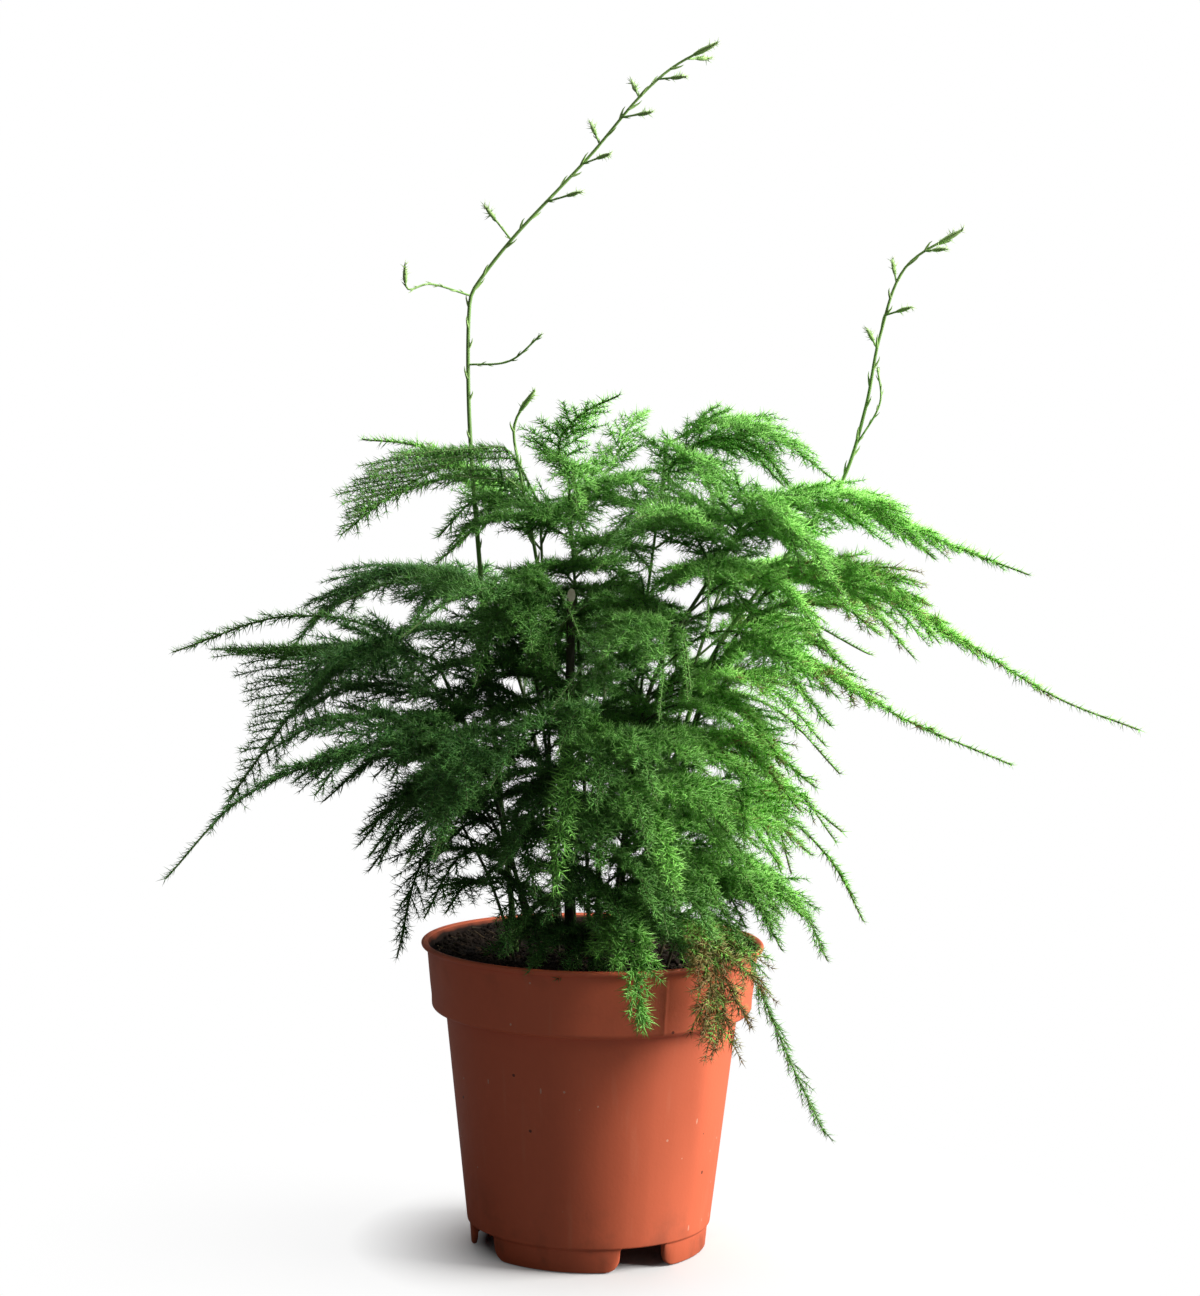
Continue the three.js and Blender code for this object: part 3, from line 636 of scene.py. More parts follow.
def smooth(points, step):
    """Evenly spaced points on a smooth curve through all the given ones."""
    ends = [2 * points[0] - points[1], *points, 2 * points[-1] - points[-2]]
    dense = []
    for i in range(1, len(ends) - 2):
        a, b, c, d = ends[i - 1:i + 3]
        k1, k2, k3 = ((q - p).length ** 0.5 for p, q in ((a, b), (b, c), (c, d)))
        k1, k3 = (k1 or k2), (k3 or k2)
        start = ((b - a) / k1 - (c - a) / (k1 + k2) + (c - b) / k2) * k2
        end = ((c - b) / k2 - (d - b) / (k2 + k3) + (d - c) / k3) * k2
        for j in range(24):
            t = j / 24
            dense.append((2 * t ** 3 - 3 * t ** 2 + 1) * b + (t ** 3 - 2 * t ** 2 + t) * start
                         + (3 * t ** 2 - 2 * t ** 3) * c + (t ** 3 - t ** 2) * end)
    dense.append(points[-1])
    line = np.array([tuple(p) for p in dense])
    run = np.concatenate([[0], np.cumsum(np.linalg.norm(np.diff(line, axis=0), axis=1))])
    count = max(3, int(round(run[-1] / step)) + 1)
    where = np.linspace(0, run[-1], count)
    return [Vector(p) for p in zip(*(np.interp(where, run, line[:, k]) for k in range(3)))]


def run_of(path):
    """The length of a path."""
    return sum((b - a).length for a, b in zip(path, path[1:]))


def headings(path):
    """The direction of a path at each of its points."""
    last = len(path) - 1
    return [(path[min(i + 1, last)] - path[max(i - 1, 0)]).normalized() for i in range(len(path))]


class Twigs:
    """Lines of points, each with a thickness, needle size, tone and the way its spray faces."""

    def __init__(self):
        self.points, self.edges = [], []
        self.facts = {"thick": [], "leafy": [], "tone": [], "flat": []}

    def add(self, line, thick, leafy, tone, flat):
        """thick, leafy and tone are numbers or functions of the place along the line."""
        first = len(self.points)
        last = len(line) - 1
        for i, point in enumerate(line):
            t = i / last
            self.points.append(tuple(point))
            for key, value in (("thick", thick), ("leafy", leafy), ("tone", tone)):
                self.facts[key].append(value(t) if callable(value) else value)
            self.facts["flat"].append(tuple(flat))
        self.edges += [(first + i, first + i + 1) for i in range(last)]

    def mesh(self, name):
        made = bpy.data.meshes.new(name)
        made.from_pydata(self.points, self.edges, [])
        for key, values in self.facts.items():
            if key == "flat":
                layer = made.attributes.new(key, "FLOAT_VECTOR", "POINT")
                layer.data.foreach_set("vector", np.array(values, np.float32).ravel())
            else:
                layer = made.attributes.new(key, "FLOAT", "POINT")
                layer.data.foreach_set("value", np.array(values, np.float32))
        return made


def level(direction, bank=0.0):
    """The direction across a heading and the way up from both, leaning sideways by the bank."""
    across = Vector((direction.y, -direction.x, 0))
    if across.length < 1e-4:
        across = Vector((1, 0, 0))
    across.normalize()
    up = across.cross(direction).normalized()
    cos, sin = math.cos(bank), math.sin(bank)
    return across * cos + up * sin, up * cos - across * sin


def at_share(path, steps, share):
    """The point and the heading at a share of the way along a path."""
    place = share * (len(path) - 1)
    i = min(int(place), len(path) - 2)
    rest = place - i
    return path[i].lerp(path[i + 1], rest), steps[i].lerp(steps[i + 1], rest).normalized()


def bent(start, direction, length, forward, droop, rng):
    """A short twig that leaves straight, swings forward and sinks at its end."""
    count = max(3, int(length / FROND_STEP) + 1)
    wave = rng.uniform(-0.06, 0.06)
    line = []
    for i in range(count):
        u = i / (count - 1)
        swing = 0.12 * u * u + wave * u * (1 - u)
        point = start + direction * (length * u) + forward * (length * swing)
        point.z -= droop * length * u * u
        line.append(point)
    return line


def outline(t, bare, tail, taper):
    """How far a spray reaches sideways: a quick rise, a slow fall, then a bare whip."""
    rise = min(1.0, 0.25 + (t - bare) / 0.14)
    fall = 1 - (t - bare) / (1 - tail - bare)
    return max(0.0, rise) * max(0.0, fall) ** taper


def grow_spray(twigs, path, width, rng, tone=0.5, bare=0.06, tail=0.24, bank=0.0, droop=0.16, needle=1.0,
               taper=0.75):
    """A midrib with side branches left and right in its plane, and small twigs on those."""
    steps = headings(path)
    length = run_of(path)
    facing = level(at_share(path, steps, 0.5)[1], bank)[1]
    twigs.add(path, lambda t: (0.55 - 0.19 * t) * MM,
              lambda t: 0.0 if t < bare else needle * (0.85 - 0.30 * t), lambda t: tone + 0.10 * t, facing)
    distance, side = 1.001 * bare * length, 1
    while distance < (1 - 0.6 * tail) * length:
        t = distance / length
        root, heading = at_share(path, steps, t)
        across, up = level(heading, bank)
        reach = 0.5 * width * outline(t, bare, tail, taper) * rng.uniform(0.72, 1.15)
        if reach < 0.0035:
            reach = rng.uniform(0.0025, 0.0050)
        lean = math.radians(56 - 26 * t + rng.uniform(-8, 8))
        direction = (heading * math.cos(lean) + across * (side * math.sin(lean))
                     + up * rng.uniform(-0.26, 0.28)).normalized()
        grow_branch(twigs, root, direction, heading, up, reach, rng, tone + 0.08 * t, droop, needle)
        distance += rng.uniform(*BRANCH_GAP)
        side = -side


def in_clearing(line):
    """Whether a twig would grow into one of the openings."""
    for point in line:
        x, y, up = (point.x - AXIS.x) / MM, (point.y - AXIS.y) / MM, (point.z - SOIL_TOP) / MM
        if any(a < x < b and low < up < high and y < back for a, b, low, high, back in CLEARINGS):
            return True
    return False


def grow_branch(twigs, root, direction, heading, up, reach, rng, tone, droop, needle):
    """A side branch with needles, carrying short twigs left and right when it is long."""
    line = bent(root, direction, reach, heading, droop * min(1.6, reach / 0.025), rng)
    if in_clearing(line):
        return
    tone += rng.uniform(-0.06, 0.06)
    twigs.add(line, lambda t: (0.24 - 0.12 * t) * MM,
              lambda t: needle * (0.85 - 0.36 * t * t), lambda t: tone + 0.10 * t, up)
    if reach < BRANCHED:
        return
    steps = headings(line)
    distance, side = 0.003, rng.choice((-1, 1))
    while distance < reach * 0.88:
        t = distance / reach
        start, ahead = at_share(line, steps, t)
        across = ahead.cross(up).normalized()
        short = min(0.012, 0.38 * reach) * (1 - t) ** 0.6 * rng.uniform(0.7, 1.15)
        lean = math.radians(rng.uniform(36, 54))
        way = (ahead * math.cos(lean) + across * (side * math.sin(lean))
               + up * rng.uniform(-0.2, 0.25)).normalized()
        if short > LEAST_TWIG:
            twig = bent(start, way, short, ahead, 0.10, rng)
            twigs.add(twig, 0.13 * MM, lambda t: needle * (0.85 - 0.30 * t), tone + 0.08, up)
        distance += rng.uniform(*TWIG_GAP)
        side = -side


def companion(stem, share, turn, length, rng):
    """The course of a smaller spray that leaves a stalk, arches and sinks."""
    start = stem[round(share * (len(stem) - 1))]
    out = Vector((math.sin(math.radians(turn)), -math.cos(math.radians(turn)), 0))
    lift, sag = rng.uniform(0.10, 0.22), rng.uniform(0.05, 0.24)
    side = Vector((-out.y, out.x, 0)) * rng.uniform(-0.10, 0.10)
    rises = ((0.30, lift), (0.64, lift * 0.9), (1.0, -sag))
    spots = (start + (out + side * u) * (u * length) + Vector((0, 0, length * z)) for u, z in rises)
    return smooth([start, *spots], FROND_STEP)


def grow_comb(twigs, rib, longest, fall, hanging, rng, tone):
    """A rib with long level teeth on its outer side and short hanging ones on the other."""
    steps = headings(rib)
    facing = Vector((0, -1, 0.2))
    twigs.add(rib, lambda t: (0.5 - 0.2 * t) * MM, lambda t: 0.0 if t < 0.15 else 0.7, tone, facing)
    length = run_of(rib)
    out = Vector((rib[-1].x - rib[0].x, rib[-1].y - rib[0].y, 0)).normalized()
    distance = 0.12 * length
    while distance < 0.97 * length:
        t = distance / length
        root, heading = at_share(rib, steps, t)
        outer = min(longest, 3 + 2.1 * longest * (1 - t) ** fall)
        for way, reach in ((out - Vector((0, 0, 0.16 * t - 0.02)), outer),
                           (-out * 0.35 - Vector((0, 0, 1)), 3 + hanging * math.sin(math.pi * t))):
            way = (way + Vector((0, rng.uniform(-0.16, 0.16), rng.uniform(-0.03, 0.03)))).normalized()
            reach *= MM * rng.uniform(0.80, 1.10)
            tooth = bent(root, way, reach, heading, 0.04, rng)
            shade = tone + rng.uniform(-0.05, 0.08)
            twigs.add(tooth, lambda u: (0.34 - 0.14 * u) * MM, lambda u: 0.70 - 0.20 * u, shade, facing)
            place = 0.004
            while place < 0.92 * reach:
                start, ahead = at_share(tooth, headings(tooth), place / reach)
                way_out = (ahead + facing.cross(ahead) * rng.choice((-0.6, 0.6))).normalized()
                twigs.add(bent(start, way_out, rng.uniform(0.0016, 0.0028), ahead, 0.05, rng),
                          0.14 * MM, 0.52, shade + 0.06, facing)
                place += rng.uniform(*BARB_GAP)
        distance += rng.uniform(*TOOTH_GAP)


# ---------------------------------------------------------------------------
# The node tree that turns twigs into stems and needles
# ---------------------------------------------------------------------------


def new_tree(name, source, values):
    """An empty tree with its inputs and its output, as its graph and the inputs."""
    tree = bpy.data.node_groups.new(name, "GeometryNodeTree")
    sockets = tree.interface
    sockets.new_socket(source, in_out="INPUT", socket_type="NodeSocketGeometry")
    for key, kind, default in values:
        socket = sockets.new_socket(key, in_out="INPUT", socket_type="NodeSocket" + kind)
        if default is not None:
            socket.default_value = default
    sockets.new_socket("Grown", in_out="OUTPUT", socket_type="NodeSocketGeometry")
    graph = Graph(tree)
    return graph, graph.node("NodeGroupInput").outputs


def needle_tree():
    """Twigs in, stems and needles out. The chart OFBake holds tone across and place along."""
    g, given = new_tree("needles_on_twigs", "Twigs", (
        ("Needle Length", "Float", 0.005), ("Needle Width", "Float", 0.0004), ("Needles", "Int", 5),
        ("Spread", "Float", 1.2), ("Spacing", "Float", 0.0014), ("Loose", "Float", 0.3),
        ("Stem Sides", "Int", 4), ("Seed", "Int", 1),
        ("Needle Look", "Material", None), ("Stem Look", "Material", None),
    ))
    tone, thick, leafy = g.fact("tone"), g.fact("thick"), g.fact("leafy")
    loose, seed, count = (Wire(g, given[key]) for key in ("Loose", "Seed", "Needles"))

    # Stems
    ring = g.out("GeometryNodeCurvePrimitiveCircle", {"Resolution": given["Stem Sides"], "Radius": 1.0})
    ring = g.store(ring, "around", g.out("GeometryNodeSplineParameter", output="Factor"))
    lines = g.out("GeometryNodeMeshToCurve", {"Mesh": given["Twigs"]})
    lines = g.store(lines, "along", g.out("GeometryNodeSplineParameter", output="Factor"))
    sized = g.out("GeometryNodeSetCurveRadius", {"Curve": lines, "Radius": thick})
    stems = g.node("GeometryNodeCurveToMesh", {}, {"Curve": sized, "Profile Curve": ring, "Fill Caps": True})
    if "Scale" in stems.inputs:
        g.feed(stems.inputs["Scale"], thick)
    stems = g.chart(stems.outputs[0], tone + g.fact("around") * 0.02, g.fact("along") * 0.9 + 0.05)
    stems = g.painted(stems, given["Stem Look"])

    # One needle: a thin closed spike with its foot at the origin, pointing up
    cone = {"Vertices": 3, "Radius Top": 0.0, "Radius Bottom": 0.5, "Depth": 1.0}
    spike = g.out("GeometryNodeMeshCone", cone, fill_type="NGON")
    for key, value in zip(("spike_x", "spike_y", "spike_z"), g.parts(g.out("GeometryNodeInputPosition"))):
        spike = g.store(spike, key, value)
    slim = g.vector(given["Needle Width"], given["Needle Width"], given["Needle Length"])
    needle = g.out("GeometryNodeTransform", {"Geometry": spike, "Scale": slim})

    # A tuft: needles fanned in one plane about the X direction
    fan = g.out("GeometryNodePoints", {"Count": given["Needles"]})
    index = g.out("GeometryNodeInputIndex")
    share = index / (count - 1).most(1.0) * 2.0 - 1.0
    aside = g.chance(-0.22, 0.22, 11, index)
    lift = g.chance(-0.45, 0.45, 23, index)
    turn = g.turned(0.0, lift + math.pi / 2, share * Wire(g, given["Spread"]) + aside)
    tuft = g.strewn(fan, needle, turn, g.chance(0.72, 1.08, 37, index))

    # Tufts along every twig, lying in the spray's plane and shaken out of it
    rows = g.node("GeometryNodeCurveToPoints", {"mode": "LENGTH"},
                  {"Curve": lines, "Length": given["Spacing"]})
    up = g.out("FunctionNodeAlignRotationToVector", {"Vector": g.fact("flat", "FLOAT_VECTOR")}, axis="Z")
    ahead = g.out("FunctionNodeAlignRotationToVector", {"Rotation": up, "Vector": rows.outputs["Tangent"]},
                  axis="X", pivot_axis="Z")
    shake = g.turned(*(g.chance(-1.0, 1.0, seed + k) * loose * much
                       for k, much in ((1, 3.4), (2, 0.9), (3, 0.9))))
    pose = g.out("FunctionNodeRotateRotation", {"Rotation": ahead, "Rotate By": shake},
                 rotation_space="LOCAL")
    points = g.store(rows.outputs[0], "tone", tone + g.chance(-0.07, 0.07, seed + 7))
    spray = g.strewn(points, tuft, pose, leafy * g.chance(0.78, 1.14, seed + 5), leafy > 0.05)
    spray = g.chart(spray, tone + g.fact("spike_x") * 0.025,
                    g.fact("spike_z") * 0.86 + g.fact("spike_y") * 0.02 + 0.06)
    return finish_tree(g, (g.painted(spray, given["Needle Look"]), stems), smooth_faces=True)


def finish_tree(g, pieces, smooth_faces=False):
    """Joins the pieces and hands them out."""
    both = g.node("GeometryNodeJoinGeometry")
    for piece in pieces:
        g.feed(both.inputs[0], piece)
    done = both.outputs[0]
    if smooth_faces:
        done = g.out("GeometryNodeSetShadeSmooth", {"Geometry": done})
    g.feed(g.node("NodeGroupOutput").inputs[0], done)
    return g.tree


def carry_out(name, mesh, tree, settings, node):
    """Runs the tree on a mesh, keeps the plain result and lets it stand for a CAD node."""
    raw = linked(name + "_raw", mesh)
    modifier = raw.modifiers.new("grow", "NODES")
    modifier.node_group = tree
    sockets = {item.name: item.identifier for item in tree.interface.items_tree if item.in_out == "INPUT"}
    for key, value in settings.items():
        modifier[sockets[key]] = value
    bpy.context.view_layer.update()
    graph = bpy.context.evaluated_depsgraph_get()
    result = bpy.data.meshes.new_from_object(
        raw.evaluated_get(graph), preserve_all_data_layers=True, depsgraph=graph)
    bpy.data.objects.remove(raw)
    bpy.data.meshes.remove(mesh)
    result.name = name
    for attribute in [a.name for a in result.attributes if a.name in PLANT_FACTS]:
        result.attributes.remove(result.attributes[attribute])
    stand_for(linked(name, result), node)


PLANT_FACTS = {"thick", "leafy", "tone", "flat", "around", "along", "spike_x", "spike_y", "spike_z"}


def stand_for(piece, node):
    """Lets a piece take a CAD node's place: hangs it under the root body and hides the node."""
    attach(piece, "root")
    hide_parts(node)


def tree_and_looks(plant):
    """The needle tree and the plant's materials, made once."""
    if "needles_on_twigs" in bpy.data.node_groups:
        return bpy.data.node_groups["needles_on_twigs"], {m.name: m for m in bpy.data.materials}
    tones = green_tones(plant)
    needle_look("needle_green", tones, blended(plant.bright_green, (0.5, 0.6, 0.2), 0.35))
    twig = [(0.0, (0.035, 0.075, 0.02)), (0.9, (0.14, 0.24, 0.055)), (1.0, (0.20, 0.12, 0.05))]
    needle_look("twig_green", twig, (0.16, 0.26, 0.07), 0.45)
    shoot = [(0.0, (0.12, 0.25, 0.055)), (0.45, (0.24, 0.46, 0.11)), (1.0, (0.42, 0.62, 0.22))]
    needle_look("shoot_green", shoot, (0.36, 0.50, 0.20), 0.45)
    stalk_look()
    return needle_tree(), {m.name: m for m in bpy.data.materials}


def stalk_look():
    """Wiry green stalk, darker and browner towards the soil, with fine lengthwise mottling."""
    graph, shader, made = material("stalk_green", 0.45)
    where = graph.here()
    mottle = graph.grain(where, 420.0, 4.0)
    old = 1 - graph.parts(where)[2].ramp(SOIL_TOP + 0.005, SOIL_TOP + 0.12)
    colour = graph.mix(old, (0.075, 0.14, 0.03, 1), (0.055, 0.05, 0.025, 1))
    colour = graph.mix(mottle.ramp(0.45, 0.75) * 0.5, colour, (0.13, 0.17, 0.06, 1))
    graph.feed(shader.inputs["Base Color"], colour)
    graph.bump(shader, mottle, 0.3, 0.0002)
    return made


# ---------------------------------------------------------------------------
# Operators
# ---------------------------------------------------------------------------


class FERN_OT_pot(bpy.types.Operator):
    """Turn the pot with its lip, band, feet and drain holes"""

    bl_idname = "fern.pot"
    bl_label = "Pot"

    def execute(self, context):
        pot = context.scene.fern_pot
        piece = turn_pot(pot)
        piece.data.materials.append(plastic_look(pot))
        stand_for(piece, "pot")
        return {"FINISHED"}


def arc(centre, radius, start, end, count):
    """Points of a round edge in the profile, as (radius, height)."""
    turns = (math.radians(start + (end - start) * i / count) for i in range(count + 1))
    return [(centre[0] + radius * math.cos(a), centre[1] + radius * math.sin(a)) for a in turns]


def notch_height(offset):
    """Height of the foot ring's lower edge beside the middle of a notch, in millimetres."""
    offset = abs(offset)
    if offset <= NOTCH_HALF - NOTCH_INNER:
        return NOTCH_TOP
    if offset <= NOTCH_HALF:
        across = offset - NOTCH_HALF + NOTCH_INNER
        return NOTCH_TOP - NOTCH_INNER + math.sqrt(max(0, NOTCH_INNER ** 2 - across ** 2))
    if offset < NOTCH_HALF + NOTCH_CORNER:
        across = NOTCH_HALF + NOTCH_CORNER - offset
        return NOTCH_CORNER - math.sqrt(max(0, NOTCH_CORNER ** 2 - across ** 2))
    return 0.0


def pot_angles():
    """The pot's columns, as direction and lower edge: even ones, and close ones at each notch."""
    marks = [-NOTCH_HALF - NOTCH_CORNER, -12, -10.5, -9.4, -8.8, -8.501, -8.499, -8.2, -7.6, -7.0, -3.5]
    marks = [*marks, 0.0, *(-m for m in reversed(marks))]
    between, near = 28, math.degrees(14.2 / FOOT_REACH)
    angles = []
    for notch in range(NOTCHES):
        middle = FIRST_NOTCH + 90 * notch
        angles += [(middle + math.degrees(m / FOOT_REACH), notch_height(m)) for m in marks]
        start, end = middle + near, middle + 90 - near
        angles += [(start + (end - start) * i / between, 0.0) for i in range(between + 1)]
    beside = math.radians(SEAM - FIRST_NOTCH) * FOOT_REACH
    angles += [(SEAM + turn, notch_height(beside)) for turn in (-SEAM_HALF, 0, SEAM_HALF)]
    return sorted(angles)


def pot_profile(wall):
    """The pot's section from the outer foot edge up, over the lip and down to the middle."""
    body = lambda z: 42.8 + (51.2 - 42.8) * (z - 8.8) / (83 - 8.8)
    outer = [
        (40.5, 0.0), (41.0, 0.12), (41.3, 0.5), (41.9, 7.6), (42.1, 8.2), (42.5, 8.5), (42.75, 8.75),
        (42.85, 9.2), (body(12), 12), (body(24), 24), (body(40), 40), (body(56), 56), (body(70), 70),
        (body(79), 79), (body(81.6), 81.6), (51.25, 82.7), (51.6, 83.1), (52.2, 83.25), (53.4, 83.3),
        *arc((54.2, 85.2), 1.9, -80, -2, 7), (56.2, 88.0), (56.7, 92), (57.3, 98), (57.75, 102.6),
        (57.95, 104.2), (58.15, 104.8), (58.5, 105.15), *arc((59.1, 106.1), 0.9, -78, 96, 9),
        (58.3, 106.85), (57.6, 106.4), (56.95, 105.4),
    ]
    inner = [
        (57.75 - wall, 102.0), (57.3 - wall, 98), (56.7 - wall, 92), (56.2 - wall, 88),
        *arc((54.0 - wall, 86.4), 1.9, 0, -80, 5), (52.0 - wall, 84.2), (51.1 - wall, 83.6),
        (50.9 - wall, 82.6), (body(70) - wall, 70), (body(50) - wall, 50), (body(30) - wall, 30),
        (body(14) - wall, 14), (body(12) - wall - 0.3, 11.6), (body(11) - wall - 1.2, 10.6), (38.0, 10.25),
    ]
    return outer, inner


def turn_pot(pot):
    """The pot as one closed shell of columns and rings, with its drain holes cut."""
    wall = pot.wall / MM
    outer, inner = pot_profile(wall)
    angles = pot_angles()
    foot_in = 41.3 - wall
    under = [(38.6, FLOOR_UNDER), (foot_in - 0.15, 8.7), (foot_in, 8.2), (foot_in, 7.4),
             (foot_in - 0.3, 0.5), (foot_in - 0.2, 0.12)]
    rows = [("out", p) for p in outer] + [("in", p) for p in inner]
    rows += [("in", (r, FLOOR_TOP)) for r in reversed(FLOOR_RINGS)]
    below = [("under", (r, FLOOR_UNDER)) for r in FLOOR_RINGS] + [("under", p) for p in under]
    bm = bmesh.new()

    def column_ring(point, kind):
        made = []
        for degrees, low in angles:
            radius, z = point
            if z < 8.6 and kind != "in":
                z = low + (8.6 - low) * z / 8.6
            if kind == "out" and 84 < z < 103 and abs(degrees - SEAM) < 0.1:
                radius += SEAM_RISE
            a = math.radians(degrees)
            made.append(bm.verts.new((
                AXIS.x + radius * MM * math.cos(a), AXIS.y + radius * MM * math.sin(a), z * MM)))
        return made

    rings = [column_ring(point, kind) for kind, point in rows]
    lower = [column_ring(point, kind) for kind, point in below]
    count = len(angles)

    def skin(first, second):
        for i in range(count):
            j = (i + 1) % count
            bm.faces.new((first[i], first[j], second[j], second[i]))

    for first, second in zip(rings, rings[1:]):
        skin(first, second)
    top_middle = bm.verts.new((AXIS.x, AXIS.y, FLOOR_TOP * MM))
    low_middle = bm.verts.new((AXIS.x, AXIS.y, FLOOR_UNDER * MM))
    for i in range(count):
        j = (i + 1) % count
        bm.faces.new((rings[-1][i], rings[-1][j], top_middle))
        bm.faces.new((lower[0][j], lower[0][i], low_middle))
    for first, second in zip(lower, lower[1:]):
        skin(first, second)
    skin(lower[-1], rings[0])
    for face in bm.faces:
        face.smooth = True
    bmesh.ops.recalc_face_normals(bm, faces=bm.faces)
    piece = linked("nursery_pot", drawn("nursery_pot", bm))
    drill_floor(piece)
    return piece


def drill_floor(piece):
    """Cuts the round drain holes in the floor."""
    bm = bmesh.new()
    reach, radius = DRAIN_REACH * MM, DRAIN_RADIUS * MM
    for i in range(DRAINS):
        a = math.radians(360 / DRAINS * (i + 0.5))
        centre = Matrix.Translation((AXIS.x + reach * math.cos(a), AXIS.y + reach * math.sin(a), 0.0096))
        bmesh.ops.create_cone(
            bm, cap_ends=True, segments=24, radius1=radius, radius2=radius, depth=0.006, matrix=centre)
    cutter = linked("drains", drawn("drains", bm))
    modifier = piece.modifiers.new("drain", "BOOLEAN")
    modifier.operation = "DIFFERENCE"
    modifier.solver = "EXACT"
    modifier.object = cutter
    graph = bpy.context.evaluated_depsgraph_get()
    cut = bpy.data.meshes.new_from_object(piece.evaluated_get(graph))
    piece.modifiers.clear()
    piece.data = cut
    bpy.data.objects.remove(cutter)


def plastic_look(pot):
    """Satin terracotta plastic: faint mottling, scuffs, pale specks, soil dust, and painted shade near black
    over the inner wall.
    """
    graph, shader, made = material("terracotta_plastic", 0.5, 0.45)
    where = graph.here()
    height = graph.parts(where)[2]
    base = tuple(pot.plastic)
    worn = blended(base, (0.55, 0.10, 0.045), 0.6)
    colour = graph.mix(graph.grain(where, 28.0, 3.0).ramp(0.35, 0.7) * 0.35, (*base, 1), (*worn, 1))
    upright = graph.out("ShaderNodeMapping", {"Vector": where, "Scale": (260.0, 260.0, 14.0)})
    streak = graph.grain(upright, 1.0, 2.0)
    colour = graph.mix(streak.ramp(0.62, 0.8) * 0.16, colour, (0.80, 0.36, 0.22, 1))
    spots, chosen = graph.cells(where, 170.0, 0)
    tall = graph.out("ShaderNodeMapping", {"Vector": where, "Scale": (1.0, 1.0, 0.3)})
    scratch, rare = graph.cells(tall, 260.0, 2)
    pale = ((spots < 0.075) * (chosen > 0.82)).most((scratch < 0.085) * (rare > 0.90))
    dark = (spots < 0.10) * (chosen < 0.09)
    colour = graph.mix(pale * 0.55, colour, (0.86, 0.58, 0.44, 1))
    colour = graph.mix(dark * 0.8, colour, (0.05, 0.025, 0.015, 1))
    near_ends = (1 - height.ramp(0.004, 0.03)) * 0.5 + height.ramp(0.088, 0.108) * 0.35
    dirt = graph.grain(where, 60.0, 6.0).ramp(0.52, 0.72) * near_ends
    colour = graph.mix(dirt, colour, (0.10, 0.045, 0.025, 1))
    # Painted shade, partly soil stain: the inner wall is painted near black up to a wavy line below the lip,
    # where the foliage and the soil heap shade it.
    centred = graph.out("ShaderNodeVectorMath", {0: where, 1: (1.0, 1.0, 0.0), 2: (-AXIS.x, -AXIS.y, 0.0)},
                        operation="MULTIPLY_ADD")
    radius = graph.out("ShaderNodeVectorMath", {0: centred}, "Value", operation="LENGTH")
    inner_wall_shade = (radius < 0.0556 + (height - 0.088) * 0.108) * (height > 0.086)
    wavy = height + graph.grain(where, 70.0, 5.0) * 0.005
    colour = graph.mix(inner_wall_shade * (0.99 - wavy.ramp(0.1075, 0.1100)), colour, (0.018, 0.011, 0.007, 1))
    graph.feed(shader.inputs["Base Color"], colour)
    rough = 0.40 + graph.grain(where, 45.0, 3.0) * 0.14 + dirt * 0.3 + inner_wall_shade * 0.5
    graph.feed(shader.inputs["Roughness"], rough)
    graph.bump(shader, graph.grain(where, 900.0, 2.0) + streak * 0.6, 0.12, 0.0003)
    return made


class FERN_OT_soil(bpy.types.Operator):
    """Fill the pot with crumbly dark soil and litter"""

    bl_idname = "fern.soil"
    bl_label = "Soil"

    def execute(self, context):
        pot = context.scene.fern_pot
        look = soil_look(pot)
        mesh = heap_soil()
        mesh.materials.append(look)
        settings = {"Crumbs": pot.crumbs, "Soil Look": look, "Litter Look": litter_look()}
        carry_out("potting_soil", mesh, crumb_tree(), settings, "soil")
        return {"FINISHED"}


def heap_soil():
    """The root ball: a turned block whose top is a lumpy mound of clods."""
    sections, rings = 96, 30
    side = [(55.0, 98.6), (54.6, 96.0), (54.2, 89.0), (52.5, 86.2), (50.6, 84.8), (49.4, 84.2),
            (49.2, 82.0), (45.6, 50.0), (41.4, 12.0), (40.8, 10.8)]
    bm = bmesh.new()

    def ring(radius, height):
        made = []
        for k in range(sections):
            a = 2 * math.pi * k / sections
            x, y = radius * math.cos(a), radius * math.sin(a)
            made.append(bm.verts.new((AXIS.x + x * MM, AXIS.y + y * MM, height(x, y) * MM)))
        return made

    def top(x, y):
        out = math.hypot(x, y) / SOIL_EDGE
        mound = 100.0 + (1 - out ** 2)
        banked = 5.0 * max(0.0, math.cos(math.atan2(y, x) - math.radians(150))) * out ** 2
        rough = noise.fractal(Vector((x, y, 3.0)) * 0.11, 0.6, 2.1, 5) * 1.8
        fine = noise.noise(Vector((x, y, 7.0)) * 0.5) * 0.5
        return min(mound + banked - 0.6 + (rough + fine) * (1 - 0.35 * out), 105.2)

    rows = [ring(SOIL_EDGE * i / rings, top) for i in range(1, rings + 1)]
    rows += [ring(r, lambda x, y, z=z: z) for r, z in side]
    middle = bm.verts.new((AXIS.x, AXIS.y, top(0, 0) * MM))
    below = bm.verts.new((AXIS.x, AXIS.y, 10.7 * MM))
    for i in range(sections):
        j = (i + 1) % sections
        bm.faces.new((middle, rows[0][i], rows[0][j]))
        bm.faces.new((below, rows[-1][j], rows[-1][i]))
        for first, second in zip(rows, rows[1:]):
            bm.faces.new((first[i], second[i], second[j], first[j]))
    bmesh.ops.recalc_face_normals(bm, faces=bm.faces)
    return drawn("heap", bm)


